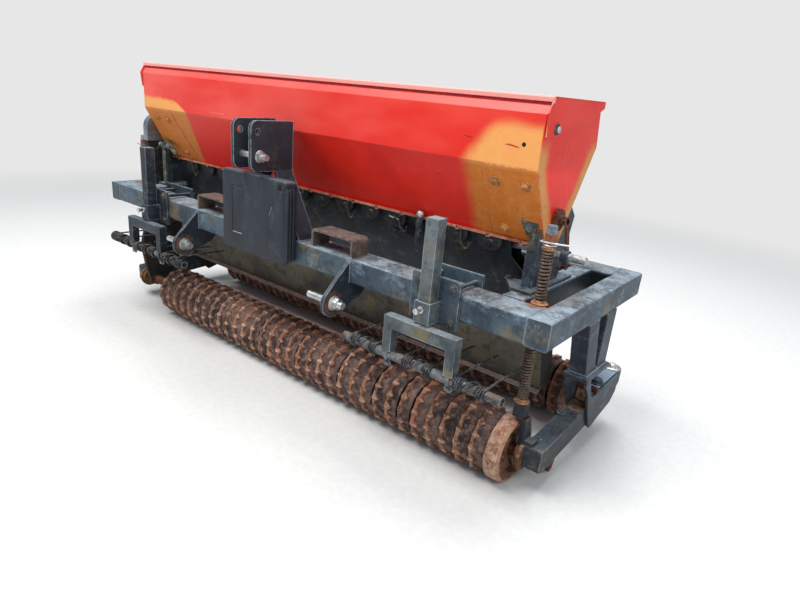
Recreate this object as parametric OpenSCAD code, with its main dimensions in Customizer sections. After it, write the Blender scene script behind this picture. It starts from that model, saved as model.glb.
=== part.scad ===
/* [Frame] */
// Overall width across the side beams
frame_w = 2120; // [2000:10:2240]
// Depth of the frame from its front face to its rear face
frame_d = 680; // [660:5:720]
// Height of the frame's top face above the ground
frame_top = 550; // [540:1:580]
// Height of the frame's beams and rails
beam_h = 75; // [65:1:85]
// Depth of the front beam
front_beam_d = 102; // [90:1:102]
// Depth of the rear beam
rear_beam_d = 108; // [90:1:115]
// Width of each side beam
side_beam_w = 65; // [55:1:70]
// Width of the slot between a side beam and its inner rail
slot_w = 65; // [60:1:75]
// Width of each inner rail
rail_w = 65; // [50:1:75]
// Radius of the tubes' rounded corners
tube_r = 7; // [3:0.5:10]

/* [Legs and arms] */
// Width of the leg tubes across the machine
leg_w = 52; // [40:1:56]
// Depth of each leg tube
leg_d = 75; // [60:1:80]
// Distance from the front face to the slanted leg's top
leg_front = 276; // [250:1:300]
// How far back the slanted leg's foot lies from its top
leg_slant = 53; // [30:1:60]
// Distance from the front face to the upright leg
leg_rear = 416; // [405:1:425]
// Height of the legs below the frame
leg_h = 180; // [165:1:190]
// Thickness of the foot plates
foot_t = 14; // [8:1:20]
// Thickness of the rocker's side plates
ear_t = 10; // [6:1:12]
// Width of each roller arm
arm_w = 56; // [40:1:58]
// Height of each roller arm
arm_h = 72; // [60:1:76]
// Height of a front arm's top above the ground at its front end
arm_front_z = 146; // [140:1:150]
// Height of a rear arm's top above the ground
arm_rear_z = 187; // [180:1:196]
// Distance from the front face to the rocker's pivot
pivot_back = 440; // [430:1:450]
// Height of the rocker's pivot above the ground
pivot_z = 214; // [205:1:222]
// Radius of the pivot bolts
pivot_r = 10; // [8:0.5:12]

/* [Rollers] */
// Outer radius of the roller rings
ring_r = 102; // [94:1:108]
// Radius of the smooth drum beside each ring's crown
drum_r = 94; // [80:1:95]
// Width of one ring along the axle
ring_pitch = 52.3; // [45:0.1:60]
// Width of a ring's raised crown
crown_w = 21; // [14:0.5:28]
// Width of the gap between two rings
ring_gap = 3; // [1:0.5:5]
// Distance from the front face to the front axle
front_axle_back = 120; // [110:1:130]
// Distance from the front face to the rear axle
rear_axle_back = 600; // [590:1:610]
// Radius of the axles
axle_r = 19; // [15:0.5:25]
// Radius of the round bearing housings
bearing_r = 46; // [40:1:48]
// Length of the bearing housings
bearing_t = 20; // [16:1:22]
// Radial running clearance of the axles in their bearings
axle_gap = 0.05; // [0.02:0.01:0.1]

/* [Springs] */
// Radius of the spring rods
rod_r = 8; // [6:0.5:9]
// Height of the rods' tops above the frame
rod_top = 208; // [190:1:220]
// Outer radius of the springs
spring_r = 15.5; // [14:0.5:17]
// Height of the upper springs
spring_top = 156; // [140:1:158]
// Depth of the lower springs' seats below the frame's top
spring_low = 283; // [270:1:286]

/* [Hopper] */
// Distance from each side of the frame to the hopper's end
hopper_inset = 145.5; // [140:0.5:150]
// Thickness of the hopper's sheet metal
sheet_t = 3; // [2:0.5:4]
// Height of the bend at the front panel's top above the frame
bend_z = 465; // [450:1:475]
// Height of the hopper's rim above the bend
rim_up = 22; // [18:1:26]
// Height of the front knee above the frame
knee_z = 334; // [300:1:360]
// Height of the rear knee above the frame
rear_knee_z = 383; // [350:1:400]
// Height of the hopper's floor above the frame
floor_z = 124; // [110:1:140]
// Distance from the front face to the hopper's front panel
hopper_front = 97; // [90:1:104]
// Distance from the front face to the hopper's rear knee
hopper_rear = 450; // [430:1:470]
// Distance from the front face to the floor's front edge
floor_front = 215; // [205:1:230]
// Distance from the front face to the floor's rear edge
floor_rear = 295; // [280:1:305]
// Thickness of the lid's sheet metal
lid_t = 2.5; // [2:0.5:3]
// Gap between the lid's top and the hopper's front rim
lid_gap = 17; // [16:0.5:20]
// Distance from the front panel back to the lid's bolts
lid_bolt_back = 50; // [48:1:60]
// Distance from the front panel's bend down to the lid's bolts
lid_bolt_down = 33; // [30:1:44]

/* [Hitch] */
// Half the distance between the mast plates' middles
mast_half = 44; // [35:1:55]
// Thickness of the hitch plates
hitch_t = 12; // [8:1:14]
// Radius of the upper link hole
top_hole_r = 9.7; // [8:0.1:13]
// Half the distance between the lower lugs
lug_half = 397; // [380:1:400]
// Radius of the lower link pins
pin_r = 11; // [10:0.5:14]
// Forward reach of the lugs ahead of the front face
lug_reach = 107; // [100:1:115]
// Depth of the lower link pins below the frame's top
lug_drop = 126; // [115:1:135]

/* [Document box] */
// Width of the document box
box_w = 328; // [280:2:340]
// Height of the document box
box_h = 271; // [240:1:290]
// Depth of the document box
box_d = 53; // [45:1:60]

/* [Tine units] */
// Width of the square posts
post_w = 38; // [30:1:40]
// Distance from the right lug out to the right post's middle
post_right_out = 328; // [300:1:330]
// Distance from the left lug out to the left post's middle
post_left_out = 275; // [270:1:300]
// Half the length of the tine pipe
pipe_half = 270; // [250:5:285]
// Outer radius of the tine pipe
pipe_r = 13.5; // [12:0.5:14]
// Distance from the post's middle to each side leg of its bracket
leg_out = 105.5; // [90:0.5:120]
// Radius of the tines' wire
wire_r = 3.2; // [2.5:0.1:4]

/* [Hidden] */
$fn = 48;

// Gap between a piece and its seat
seat = 0.3;
// Reach of the rear arms behind the front face
rear_reach = frame_d + 25;
// Place of the front beam's front face, so that the machine's middle is at zero
y_face = (lug_reach - rear_reach) / 2;
half_w = frame_w / 2;
beam_end = half_w - side_beam_w;
rail_out = beam_end - slot_w;
rail_in = rail_out - rail_w;
hopper_end = half_w - hopper_inset;

// Paints
navy = [0.16, 0.19, 0.23];
red = [0.78, 0.14, 0.11];
rust = [0.42, 0.25, 0.16];
zinc = [0.72, 0.73, 0.74];
charcoal = [0.2, 0.21, 0.23];

// A distance behind the front face and a height over the frame, as places
function back(d) = y_face + d;
function over(h) = frame_top + h;

// Points on an arc, from angle a to angle b
function arc(c, r, a, b, n = 4) = [
    for (i = [0 : n])
        let (t = a + (b - a) * i / n)
            [c[0] + r * cos(t), c[1] + r * sin(t)]
];

// Outline of a rectangle with rounded corners
function rounded(xs, ys, r) = concat(
    arc([xs[1] - r, ys[1] - r], r, 0, 90),
    arc([xs[0] + r, ys[1] - r], r, 90, 180),
    arc([xs[0] + r, ys[0] + r], r, 180, 270),
    arc([xs[1] - r, ys[0] + r], r, 270, 360)
);

// A block between two places on each axis
module block(xs, ys, zs) {
    translate([xs[0], ys[0], zs[0]])
        cube([xs[1] - xs[0], ys[1] - ys[0], zs[1] - zs[0]]);
}

// A side outline, given as place back and height, drawn out across the machine
module across(x0, x1) {
    translate([x0, 0, 0])
        rotate([90, 0, 90])
            linear_extrude(x1 - x0)
                children();
}

// A front outline, given as place across and height, drawn out backwards
module backwards(y0, y1) {
    translate([0, y1, 0])
        rotate([90, 0, 0])
            linear_extrude(y1 - y0)
                children();
}

// A flat outline drawn out upwards
module upwards(z0, z1) {
    translate([0, 0, z0])
        linear_extrude(z1 - z0)
            children();
}

// A round bar across the machine
module bar_x(x0, x1, y, z, r) {
    translate([x0, y, z])
        rotate([0, 90, 0])
            cylinder(h = x1 - x0, r = r);
}

// A round bar from front to back
module bar_y(x, y0, y1, z, r) {
    translate([x, y1, z])
        rotate([90, 0, 0])
            cylinder(h = y1 - y0, r = r);
}

// A six-sided nut across the machine
module nut_x(x0, x1, y, z, r) {
    translate([x0, y, z])
        rotate([0, 90, 0])
            cylinder(h = x1 - x0, r = r, $fn = 6);
}

// Left or right copy of what is drawn for the right side
module on_side(side) {
    mirror([side < 0 ? 1 : 0, 0, 0])
        children();
}

// Beams and rails
module beam(d0, d1) {
    color(navy)
        across(-beam_end, beam_end)
            polygon(rounded([back(d0), back(d1)], [over(-beam_h), over(0)], tube_r));
}

module side_beam(side) {
    color(navy)
        on_side(side)
            backwards(back(0), back(frame_d))
                polygon(rounded([beam_end, half_w], [over(-beam_h), over(0)], tube_r));
}

module inner_rails() {
    color(navy)
        for (side = [-1, 1])
            on_side(side)
                backwards(back(front_beam_d), back(frame_d - rear_beam_d))
                    polygon(rounded([rail_in, rail_out], [over(-beam_h), over(0)], tube_r));
}

// Legs, rocker plates and arms
arm_mid = half_w - leg_w / 2;
arm_in = arm_mid - arm_w / 2;
arm_out = arm_mid + arm_w / 2;
leg_top = over(-beam_h);
leg_foot = leg_top - leg_h;
foot_low = leg_foot - foot_t;
foot_front = leg_front + leg_slant - 14;
foot_rear = leg_rear + leg_d + 6;

module leg(side) {
    color(navy)
        on_side(side) {
            across(half_w - leg_w, half_w)
                polygon([
                    [back(leg_front), leg_top],
                    [back(leg_front + leg_d), leg_top],
                    [back(leg_front + leg_slant + leg_d), leg_foot],
                    [back(leg_front + leg_slant), leg_foot]
                ]);
            upwards(leg_foot, leg_top)
                polygon(rounded([half_w - leg_w, half_w], [back(leg_rear), back(leg_rear + leg_d)], tube_r));
            block([arm_in - seat - ear_t, arm_out + seat + ear_t], [back(foot_front), back(foot_rear)],
                  [foot_low, leg_foot]);
            for (x = [arm_in - seat - ear_t, arm_out + seat])
                difference() {
                    across(x, x + ear_t)
                        polygon([
                            [back(foot_front + 4), foot_low],
                            [back(foot_front), foot_low - 30],
                            [back(pivot_back - 12), pivot_z - 138],
                            [back(pivot_back + 8), pivot_z - 141],
                            [back(rear_axle_back + 25), ring_r + 40],
                            [back(rear_axle_back + 63), arm_rear_z + 8],
                            [back(rear_axle_back + 58), arm_rear_z + 12],
                            [back(foot_rear), foot_low]
                        ]);
                    bar_x(x - 1, x + ear_t + 1, back(pivot_back), pivot_z, pivot_r + seat);
                }
        }
}

arm_front_end = 98;
arm_front_flat = 160;
arm_rise = 19;
arm_back_end = 425;
module arm_front(side) {
    color(navy)
        on_side(side)
            across(arm_in, arm_out)
                polygon(concat(
                    arc([back(arm_front_end + 8), arm_front_z - arm_h + 8], 8, 180, 270),
                    [
                        [back(arm_front_flat), arm_front_z - arm_h],
                        [back(arm_back_end), arm_front_z + arm_rise - arm_h],
                        [back(arm_back_end), arm_front_z + arm_rise],
                        [back(arm_front_flat), arm_front_z]
                    ],
                    arc([back(arm_front_end + 8), arm_front_z - 8], 8, 90, 180)
                ));
}

module arm_rear(side) {
    color(navy)
        on_side(side)
            across(arm_in, arm_out)
                polygon(concat(
                    [
                        [back(arm_back_end + 50), pivot_z - 110],
                        [back(rear_axle_back + 30), arm_rear_z - arm_h + 26],
                    ],
                    arc([back(rear_reach - 10), arm_rear_z - arm_h + 46], 10, -60, 0),
                    arc([back(rear_reach - 8), arm_rear_z + 4], 8, 0, 80),
                    [
                        [back(foot_rear + 6), foot_low - 6],
                        [back(arm_back_end + 50), foot_low - 14]
                    ]
                ));
}

module pivot_bolts() {
    color(zinc)
        for (side = [-1, 1])
            on_side(side) {
                bar_x(arm_in - ear_t - 14, arm_out + ear_t + seat, back(pivot_back), pivot_z, pivot_r);
                nut_x(arm_in - ear_t - 16, arm_in - ear_t - 2 * seat, back(pivot_back), pivot_z, pivot_r * 1.8);
            }
}

// Distance behind the front face and outer side of each bearing
bearing_places = [
    [front_axle_back, arm_in - seat],
    [rear_axle_back, arm_in - seat - ear_t - seat]
];
module bearings() {
    color(rust)
        for (side = [-1, 1], p = bearing_places)
            on_side(side)
                difference() {
                    union() {
                        bar_x(p[1] - bearing_t, p[1], back(p[0]), ring_r, bearing_r - 8);
                        bar_x(p[1] - 9, p[1], back(p[0]), ring_r, bearing_r);
                    }
                    bar_x(p[1] - bearing_t - 1, p[1] + 1, back(p[0]), ring_r, axle_r + axle_gap);
                }
}

// Spring rods on the front arms
rod_x = beam_end - 25;
rod_back = front_beam_d + 12;
clip_up = 10;
clip_r = 2.6;
washer_r = 21;
foot_top = over(-spring_low - 5);
module spring_rods() {
    color(zinc)
        for (side = [-1, 1])
            on_side(side) {
                difference() {
                    union() {
                        translate([rod_x, back(rod_back), foot_top]) cylinder(h = over(rod_top) - foot_top, r = rod_r);
                        translate([rod_x, back(rod_back), over(spring_top + 4)]) cylinder(h = 30, r = spring_r);
                        translate([rod_x, back(rod_back), over(spring_top + 34)]) cylinder(h = rod_top - spring_top - 34, r = 13);
                    }
                    bar_x(rod_x - 30, rod_x + 60, back(rod_back), over(spring_top + clip_up), clip_r);
                }
                bar_x(rod_x - 22, rod_x + 52, back(rod_back), over(spring_top + clip_up), clip_r);
                difference() {
                    block([rod_x - 20, rod_x + 20], [back(front_beam_d) + seat, back(rod_back) + 20],
                          [over(-beam_h), over(0)]);
                    translate([rod_x, back(rod_back), over(-beam_h) - 1]) cylinder(h = beam_h + 2, r = rod_r + 1);
                }
                block([rod_x - 20, arm_mid], [back(rod_back) - 16, back(rod_back) + 20], [foot_top - 36, foot_top]);
                block([arm_in, arm_mid], [back(rod_back) - 16, back(rod_back) + 20],
                      [arm_front_z + seat, foot_top - 36]);
            }
}

module spring_coils() {
    color(rust)
        for (side = [-1, 1])
            on_side(side)
                for (z = [[over(seat), over(spring_top)], [foot_top + seat, over(-beam_h) - seat]])
                    translate([rod_x, back(rod_back), z[0]])
                        difference() {
                            union() {
                                cylinder(h = z[1] - z[0], r = spring_r);
                                cylinder(h = 4, r = washer_r);
                            }
                            translate([0, 0, -1]) cylinder(h = z[1] - z[0] + 2, r = rod_r + seat);
                        }
}

// Hitch plates, pins and loops
mast_front = -94;
mast_rear = 74;
mast_low = 209;
mast_high = 365;
mast_r = 26;
top_hole = [-68, 331];
low_hole = [-60, 256];
module mast() {
    color(navy)
        for (side = [-1, 1])
            on_side(side) {
                difference() {
                    across(mast_half - hitch_t / 2, mast_half + hitch_t / 2)
                        polygon(concat(
                            arc([back(mast_front + mast_r), over(mast_low + mast_r)], mast_r, 180, 270, 6),
                            [
                                [back(mast_rear), over(mast_low)],
                                [back(mast_rear), over(mast_high)]
                            ],
                            arc([back(mast_front + mast_r), over(mast_high - mast_r)], mast_r, 90, 180, 6)
                        ));
                    for (h = [top_hole, low_hole])
                        bar_x(mast_half - hitch_t, mast_half + hitch_t, back(h[0]), over(h[1]), top_hole_r);
                }
                backwards(back(4), back(mast_rear))
                    polygon([
                        [mast_half - hitch_t / 2, over(mast_low)],
                        [mast_half + hitch_t / 2, over(mast_low)],
                        [172, over(0)],
                        [158, over(0)]
                    ]);
            }
}

module top_link_pin() {
    color(zinc) {
        bar_x(-mast_half - hitch_t / 2 - 8, mast_half + 42, back(low_hole[0]), over(low_hole[1]), top_hole_r - seat);
        nut_x(-mast_half - hitch_t / 2 - 14, -mast_half - hitch_t / 2 - seat, back(low_hole[0]), over(low_hole[1]), 17);
        nut_x(mast_half + hitch_t / 2 + seat, mast_half + hitch_t / 2 + 16, back(low_hole[0]), over(low_hole[1]), 17);
    }
}

lug_pin_back = -63;
lug_nose_r = lug_reach + lug_pin_back;
module lower_lugs() {
    color(navy)
        for (side = [-1, 1])
            on_side(side)
                difference() {
                    across(lug_half - hitch_t / 2, lug_half + hitch_t / 2)
                        polygon(concat(
                            arc([back(lug_pin_back), over(-lug_drop)], lug_nose_r, 128, 287, 12),
                            [
                                [back(22), over(-lug_drop - 14)],
                                [back(50), over(-lug_drop - 4)],
                                [back(70), over(-lug_drop + 12)],
                                [back(76), over(-lug_drop + 26)],
                                [back(76), over(-beam_h)],
                                [back(0), over(-beam_h)],
                                [back(0), over(-6)]
                            ]
                        ));
                    bar_x(lug_half - hitch_t, lug_half + hitch_t, back(lug_pin_back), over(-lug_drop), pin_r + seat);
                }
}

pin_out = 100;
nut_out = 45;
clip_in = 12;
module lower_pins() {
    color(zinc)
        for (x = [-lug_half, lug_half])
            difference() {
                union() {
                    bar_x(x - pin_out, x + nut_out, back(lug_pin_back), over(-lug_drop), pin_r);
                    nut_x(x + hitch_t / 2 + seat, x + hitch_t / 2 + 22, back(lug_pin_back), over(-lug_drop), 19);
                    bar_x(x - hitch_t / 2 - 9, x - hitch_t / 2 - seat, back(lug_pin_back), over(-lug_drop), 18);
                }
                translate([x - pin_out + clip_in, back(lug_pin_back), over(-lug_drop - pin_r - 1)])
                    cylinder(h = 2 * pin_r + 2, r = 4);
            }
}

loop_w = 176;
loop_h = 58;
loop_t = 7;
loop_r = 12;
module strap_loops() {
    color(rust)
        for (side = [-1, 1])
            on_side(side)
                backwards(back(5), back(78))
                    difference() {
                        polygon(concat(
                            [[lug_half + 5 - loop_w, over(0)]],
                            arc([lug_half + 5 - loop_w + loop_r, over(loop_h) - loop_r], loop_r, 180, 90),
                            arc([lug_half + 5 - loop_r, over(loop_h) - loop_r], loop_r, 90, 0),
                            [[lug_half + 5, over(0)]]
                        ));
                        polygon([
                            [lug_half + 5 - loop_w + loop_t, over(-1)],
                            [lug_half + 5 - loop_w + loop_t, over(loop_h - loop_t - 5)],
                            [lug_half + 5 - loop_w + loop_t + 5, over(loop_h - loop_t)],
                            [lug_half - loop_t, over(loop_h - loop_t)],
                            [lug_half + 5 - loop_t, over(loop_h - loop_t - 5)],
                            [lug_half + 5 - loop_t, over(-1)]
                        ]);
                    }
}

// Place across, width and depth of the grooves down the document box's sides
box_low = -beam_h - 1;
module document_box() {
    color(charcoal)
        difference() {
            upwards(over(box_low), over(box_low + box_h))
                polygon(rounded([-box_w / 2, box_w / 2], [back(-box_d) - seat, back(0) - seat], 12));
            backwards(back(-box_d) - 5, back(-box_d) + 1.2)
                polygon(rounded([-box_w / 2 + 62, -box_w / 2 + 172],
                                [over(box_low + 70), over(box_low + 212)], 5));
            for (x = [-box_w / 2, box_w / 2], d = [14, 30])
                block([x - 3, x + 3], [back(-box_d + d), back(-box_d + d + 6)],
                      [over(box_low + 12), over(box_low + box_h - 26)]);
        }
}

// Hopper, lid and mounts
bevel_d = 13;
lean = 21;
hopper_outline = [
    [back(hopper_front + bevel_d), over(bend_z + rim_up)],
    [back(hopper_front), over(bend_z)],
    [back(hopper_front), over(knee_z)],
    [back(floor_front), over(floor_z)],
    [back(floor_rear), over(floor_z)],
    [back(hopper_rear), over(rear_knee_z)],
    [back(hopper_rear - lean), over(bend_z + rim_up)]
];
hopper_inside = [
    [back(hopper_front + bevel_d + 5), over(bend_z + rim_up + 2)],
    [back(hopper_front + sheet_t), over(bend_z - 1)],
    [back(hopper_front + sheet_t), over(knee_z + 1)],
    [back(floor_front + 2), over(floor_z + sheet_t)],
    [back(floor_rear - 2), over(floor_z + sheet_t)],
    [back(hopper_rear - sheet_t), over(rear_knee_z + 1)],
    [back(hopper_rear - lean - sheet_t), over(bend_z + rim_up + 2)]
];
module hopper_shell() {
    color(red) {
        across(-hopper_end + sheet_t, hopper_end - sheet_t)
            difference() {
                polygon(hopper_outline);
                polygon(hopper_inside);
            }
        block([-upright_in + 2, upright_in - 2], [back(floor_front - 12), back(floor_front + 1)],
              [over(floor_z), over(floor_z + 2.5)]);
    }
}

module hopper_ends() {
    color(red)
        for (side = [-1, 1])
            on_side(side)
                across(hopper_end - sheet_t, hopper_end)
                    polygon(hopper_outline);
}

// Inner side of each patch plate at its top and bottom, and the side it is on
patches = [[756, 759, 1], [732, 693, -1]];
patch_t = 2.5;
slope = atan2(knee_z - floor_z, floor_front - hopper_front);
slope_len = (knee_z - floor_z) / sin(slope);
module hopper_patches() {
    color(red)
        translate([0, back(hopper_front), over(knee_z)])
            rotate([180 - slope, 0, 0])
                for (p = patches)
                    on_side(p[2])
                        linear_extrude(patch_t)
                            polygon([
                                [p[0], -2],
                                [hopper_end, -2],
                                [hopper_end, -slope_len + 70],
                                [hopper_end - 30, -slope_len + 14],
                                [p[1], -slope_len + 14]
                            ]);
}

lid_pin = [hopper_front + lid_bolt_back, bend_z - lid_bolt_down];
lid_front = hopper_front + 8;
lid_low = bend_z + rim_up + lid_gap;
lid_z = lid_low + lid_t;
lid_rear = hopper_rear - 14;
lid_lip = 10;
cheek_in = hopper_end + 5;
lid_pin_r = 6;
module hopper_lid() {
    color(red) {
        across(-cheek_in - lid_t, cheek_in + lid_t)
            polygon([
                [back(lid_front), over(lid_low - lid_lip)],
                [back(lid_front), over(lid_z - 3)],
                [back(lid_front + 3), over(lid_z)],
                [back(lid_rear - 2), over(lid_z)],
                [back(lid_rear), over(lid_z - 2)],
                [back(lid_rear), over(lid_low - lid_lip - 2)],
                [back(lid_rear - lid_t), over(lid_low - lid_lip - 2)],
                [back(lid_rear - lid_t), over(lid_low)],
                [back(lid_front + lid_t), over(lid_low)],
                [back(lid_front + lid_t), over(lid_low - lid_lip)]
            ]);
        for (side = [-1, 1])
            on_side(side)
                difference() {
                    across(cheek_in, cheek_in + lid_t)
                        polygon([
                            [back(hopper_front - 8), over(bend_z + 3)],
                            [back(lid_front), over(lid_low - lid_lip)],
                            [back(lid_front), over(lid_z - 3)],
                            [back(lid_rear), over(lid_z - 3)],
                            [back(lid_rear), over(lid_z - 18)],
                            [back(lid_rear - 84), over(bend_z - 8)],
                            [back(hopper_front + 50), over(bend_z - 50)],
                            [back(hopper_front - 2), over(bend_z - 52)]
                        ]);
                    bar_x(cheek_in - 1, cheek_in + lid_t + 1, back(lid_pin[0]), over(lid_pin[1]), lid_pin_r + axle_gap);
                }
    }
}

mount_t = 10;
upright_in = hopper_end - 14;
mount_in = rail_in - 2;
tip_r = 13;
module hopper_mounts() {
    color(navy)
        for (side = [-1, 1])
            on_side(side) {
                difference() {
                    upwards(over(0), over(mount_t))
                        polygon(concat(
                            [[rail_out - 4, back(147)], [rail_out - 4, back(418)], [mount_in, back(418)], [mount_in, back(236)]],
                            arc([mount_in - 37, back(217)], tip_r, 100, 250, 6),
                            [[mount_in, back(150)]]
                        ));
                    for (p = [[mount_in - 37, 217], [rail_out - 12, 390]])
                        translate([p[0], back(p[1]), over(-1)]) cylinder(h = mount_t + 2, r = 5.5);
                }
                difference() {
                    across(upright_in, upright_in + 10)
                        polygon([
                            [back(181), over(mount_t)],
                            [back(181), over(floor_z + 48)],
                            [back(floor_front - 2), over(floor_z - seat)],
                            [back(floor_rear + 2), over(floor_z - seat)],
                            [back(floor_rear + 62), over(floor_z + 100)],
                            [back(floor_rear + 100), over(floor_z + 66)],
                            [back(346), over(mount_t)]
                        ]);
                    bar_x(upright_in - 1, upright_in + 11, back(shaft_places[0][0]), over(shaft_places[0][1]),
                          shaft_places[0][2] + seat);
                }
                block([upright_in - 22, upright_in], [back(181), back(187)], [over(mount_t), over(floor_z - 8)]);
                bar_x(hopper_end, cheek_in + lid_t + 7, back(lid_pin[0]), over(lid_pin[1]), lid_pin_r);
            }
}

// Sheets, shafts and drive below the hopper
shield_gap = 62;
shield_end = rail_in - 8;
module seed_shield() {
    color(navy)
        for (d = [0, shield_gap])
            intersection() {
                across(-shield_end, shield_end)
                    polygon([
                        [back(floor_front + 2 + d), over(floor_z - seat)],
                        [back(floor_front + 52 + d), over(-beam_h)],
                        [back(floor_front + 55 + d), over(-beam_h)],
                        [back(floor_front + 5 + d), over(floor_z - seat)]
                    ]);
                backwards(back(150), back(420))
                    polygon([
                        [-shield_end, over(-beam_h - 1)],
                        [shield_end, over(-beam_h - 1)],
                        [shield_end, over(26)],
                        [shield_end - 46, over(72)],
                        [shield_end - 46, over(floor_z)],
                        [-shield_end + 46, over(floor_z)],
                        [-shield_end + 46, over(72)],
                        [-shield_end, over(26)]
                    ]);
            }
}

sheet_front = 262;
sheet_low = 352;
sheet_lean = 68;
sheet_deep = 74;
module ground_sheets() {
    color(navy) {
        for (d = [0, sheet_deep])
            across(-rail_out + 1, rail_out - 1)
                polygon([
                    [back(sheet_front + d), over(-beam_h - seat)],
                    [back(sheet_front + sheet_lean + d), over(-sheet_low)],
                    [back(sheet_front + sheet_lean - 12 + d), over(-sheet_low - 10)],
                    [back(sheet_front + sheet_lean - 10 + d), over(-sheet_low - 12)],
                    [back(sheet_front + sheet_lean + 3 + d), over(-sheet_low - 1)],
                    [back(sheet_front + 3 + d), over(-beam_h - seat)]
                ]);
        for (side = [-1, 1])
            on_side(side)
                across(rail_out - 4, rail_out - 1)
                    polygon([
                        [back(sheet_front + 1), over(-beam_h - seat)],
                        [back(sheet_front + sheet_deep + 2), over(-beam_h - seat)],
                        [back(sheet_front + sheet_lean + sheet_deep + 2), over(-sheet_low)],
                        [back(sheet_front + sheet_lean + 1), over(-sheet_low)]
                    ]);
    }
}

// Distance back, height, radius, and right end of each shaft across the hopper
shaft_places = [
    [255, floor_z - 22, 11, hopper_end + 105],
    [255, floor_z + 72, 10, hopper_end + 34]
];
module feed_shafts() {
    color(zinc) {
        bar_x(-hopper_end, shaft_places[0][3], back(shaft_places[0][0]), over(shaft_places[0][1]), shaft_places[0][2]);
        bar_x(hopper_end + seat, shaft_places[1][3], back(shaft_places[1][0]), over(shaft_places[1][1]), shaft_places[1][2]);
        bar_x(hopper_end + seat, hopper_end + 14, back(shaft_places[1][0]), over(shaft_places[1][1]), 30);
    }
}

lever_x = 492;
lever_back = floor_front - 4;
module feed_lever() {
    color(zinc) {
        block([lever_x - 6, lever_x + 6], [back(lever_back - 4), back(lever_back)], [over(34), over(floor_z - 4)]);
        bar_y(lever_x, back(lever_back - 8), back(floor_front + 4.7), over(floor_z - 20), 8);
    }
}

guard_in = rail_out + seat;
guard_out = guard_in + 16;
cover_r = 56;
cover_front = 104;
cover_top = 301;
cover_low = 190;
module chain_case() {
    color(rust)
        difference() {
            across(-guard_out, -guard_in)
                polygon([
                    [back(cover_front + 4), over(cover_low)],
                    [back(cover_front + 4), over(-beam_h - 15)],
                    [back(58), over(-250)],
                    [back(58), over(-308)],
                    [back(72), over(-396)],
                    [back(92), over(-465)],
                    [back(121), over(-471)],
                    [back(230), over(-385)],
                    [back(cover_front + 170), over(-beam_h)],
                    [back(cover_front + 230), over(cover_low)]
                ]);
            bar_x(-guard_out - 1, -guard_in + 1, back(front_axle_back), ring_r, axle_r + 6);
        }
}

module chain_cover() {
    color(zinc)
        across(-guard_out - 6, -hopper_end - 5)
            polygon(concat(
                [[back(cover_front), over(cover_low + seat)]],
                arc([back(cover_front + cover_r), over(cover_top - cover_r)], cover_r, 180, 90, 8),
                arc([back(cover_front + 248 - cover_r), over(cover_top - cover_r)], cover_r, 90, 0, 8),
                [[back(cover_front + 248), over(cover_low + seat)]]
            ));
}

// Tine units
sleeve_wall = 6;
post_front = -56;
post_low = -88;
post_high = 195;
slide_gap = 0.5;
plate_half = 79;
plate_top = 34;
plate_low = -100;
post_right = lug_half + post_right_out;
post_left = lug_half + post_left_out;
module tine_clamp(x) {
    color(navy) {
        backwards(back(-10), back(-seat))
            polygon(concat(
                [[x - plate_half, over(plate_low)], [x + plate_half, over(plate_low)]],
                arc([x + plate_half - 18, over(plate_top - 18)], 18, 0, 90, 6),
                arc([x - plate_half + 6, over(plate_top - 6)], 6, 90, 180)
            ));
        difference() {
            block([x - post_w / 2 - sleeve_wall, x + post_w / 2 + sleeve_wall],
                  [back(post_front - sleeve_wall), back(-10)], [over(post_low), over(-28)]);
            block([x - post_w / 2 - slide_gap, x + post_w / 2 + slide_gap],
                  [back(post_front - slide_gap), back(post_front + post_w + slide_gap)],
                  [over(post_low - 1), over(0)]);
        }
        block([x - plate_half, x + plate_half], [back(front_beam_d) + seat, back(front_beam_d + 10)],
              [over(plate_low), over(plate_top)]);
    }
    color(zinc) {
        for (dx = [-58, 58], h = [12, -87])
            bar_y(x + dx, back(-18), back(front_beam_d + 20), over(h), 6);
        bar_y(x, back(post_front - 22), back(post_front - sleeve_wall), over(-48), 6);
    }
}

bracket_off = 6;
bracket_leg = 29;
bracket_front = -75;
bracket_rear = -46;
bracket_low = -199.5;
pipe_back = -60.5;
pipe_z = bracket_low - pipe_r;
module tine_post(x) {
    mid = x + bracket_off;
    top = post_low - 5;
    color(navy) {
        block([x - post_w / 2, x + post_w / 2], [back(post_front), back(post_front + post_w)],
              [over(top), over(post_high)]);
        difference() {
            backwards(back(bracket_front), back(bracket_rear))
                polygon([
                    [mid - leg_out - bracket_leg / 2, over(bracket_low)],
                    [mid - leg_out - bracket_leg / 2, over(top)],
                    [mid + leg_out + bracket_leg / 2, over(top)],
                    [mid + leg_out + bracket_leg / 2, over(bracket_low)],
                    [mid + leg_out - bracket_leg / 2, over(bracket_low)],
                    [mid + leg_out - bracket_leg / 2, over(top - 36)],
                    [mid - leg_out + bracket_leg / 2, over(top - 36)],
                    [mid - leg_out + bracket_leg / 2, over(bracket_low)]
                ]);
            bar_x(mid - leg_out - bracket_leg, mid + leg_out + bracket_leg, back(pipe_back), over(pipe_z + 1), pipe_r);
        }
    }
}

module tine_pipe(x) {
    mid = x + bracket_off;
    color(navy)
        difference() {
            union() {
                bar_x(x - pipe_half, x + pipe_half, back(pipe_back), over(pipe_z), pipe_r);
                for (s = [-1, 1])
                    bar_x(mid + s * leg_out - 5, mid + s * leg_out + 5, back(pipe_back), over(pipe_z), pipe_r + 4);
            }
            bar_x(x - pipe_half - 1, x + pipe_half + 1, back(pipe_back), over(pipe_z), pipe_r - 3);
            for (s = [-1, 1])
                block([mid + s * leg_out - 20, mid + s * leg_out + 20], [back(bracket_front - 5), back(bracket_rear + 5)],
                      [over(bracket_low - 1) + seat, over(bracket_low + 20)]);
        }
}

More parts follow.
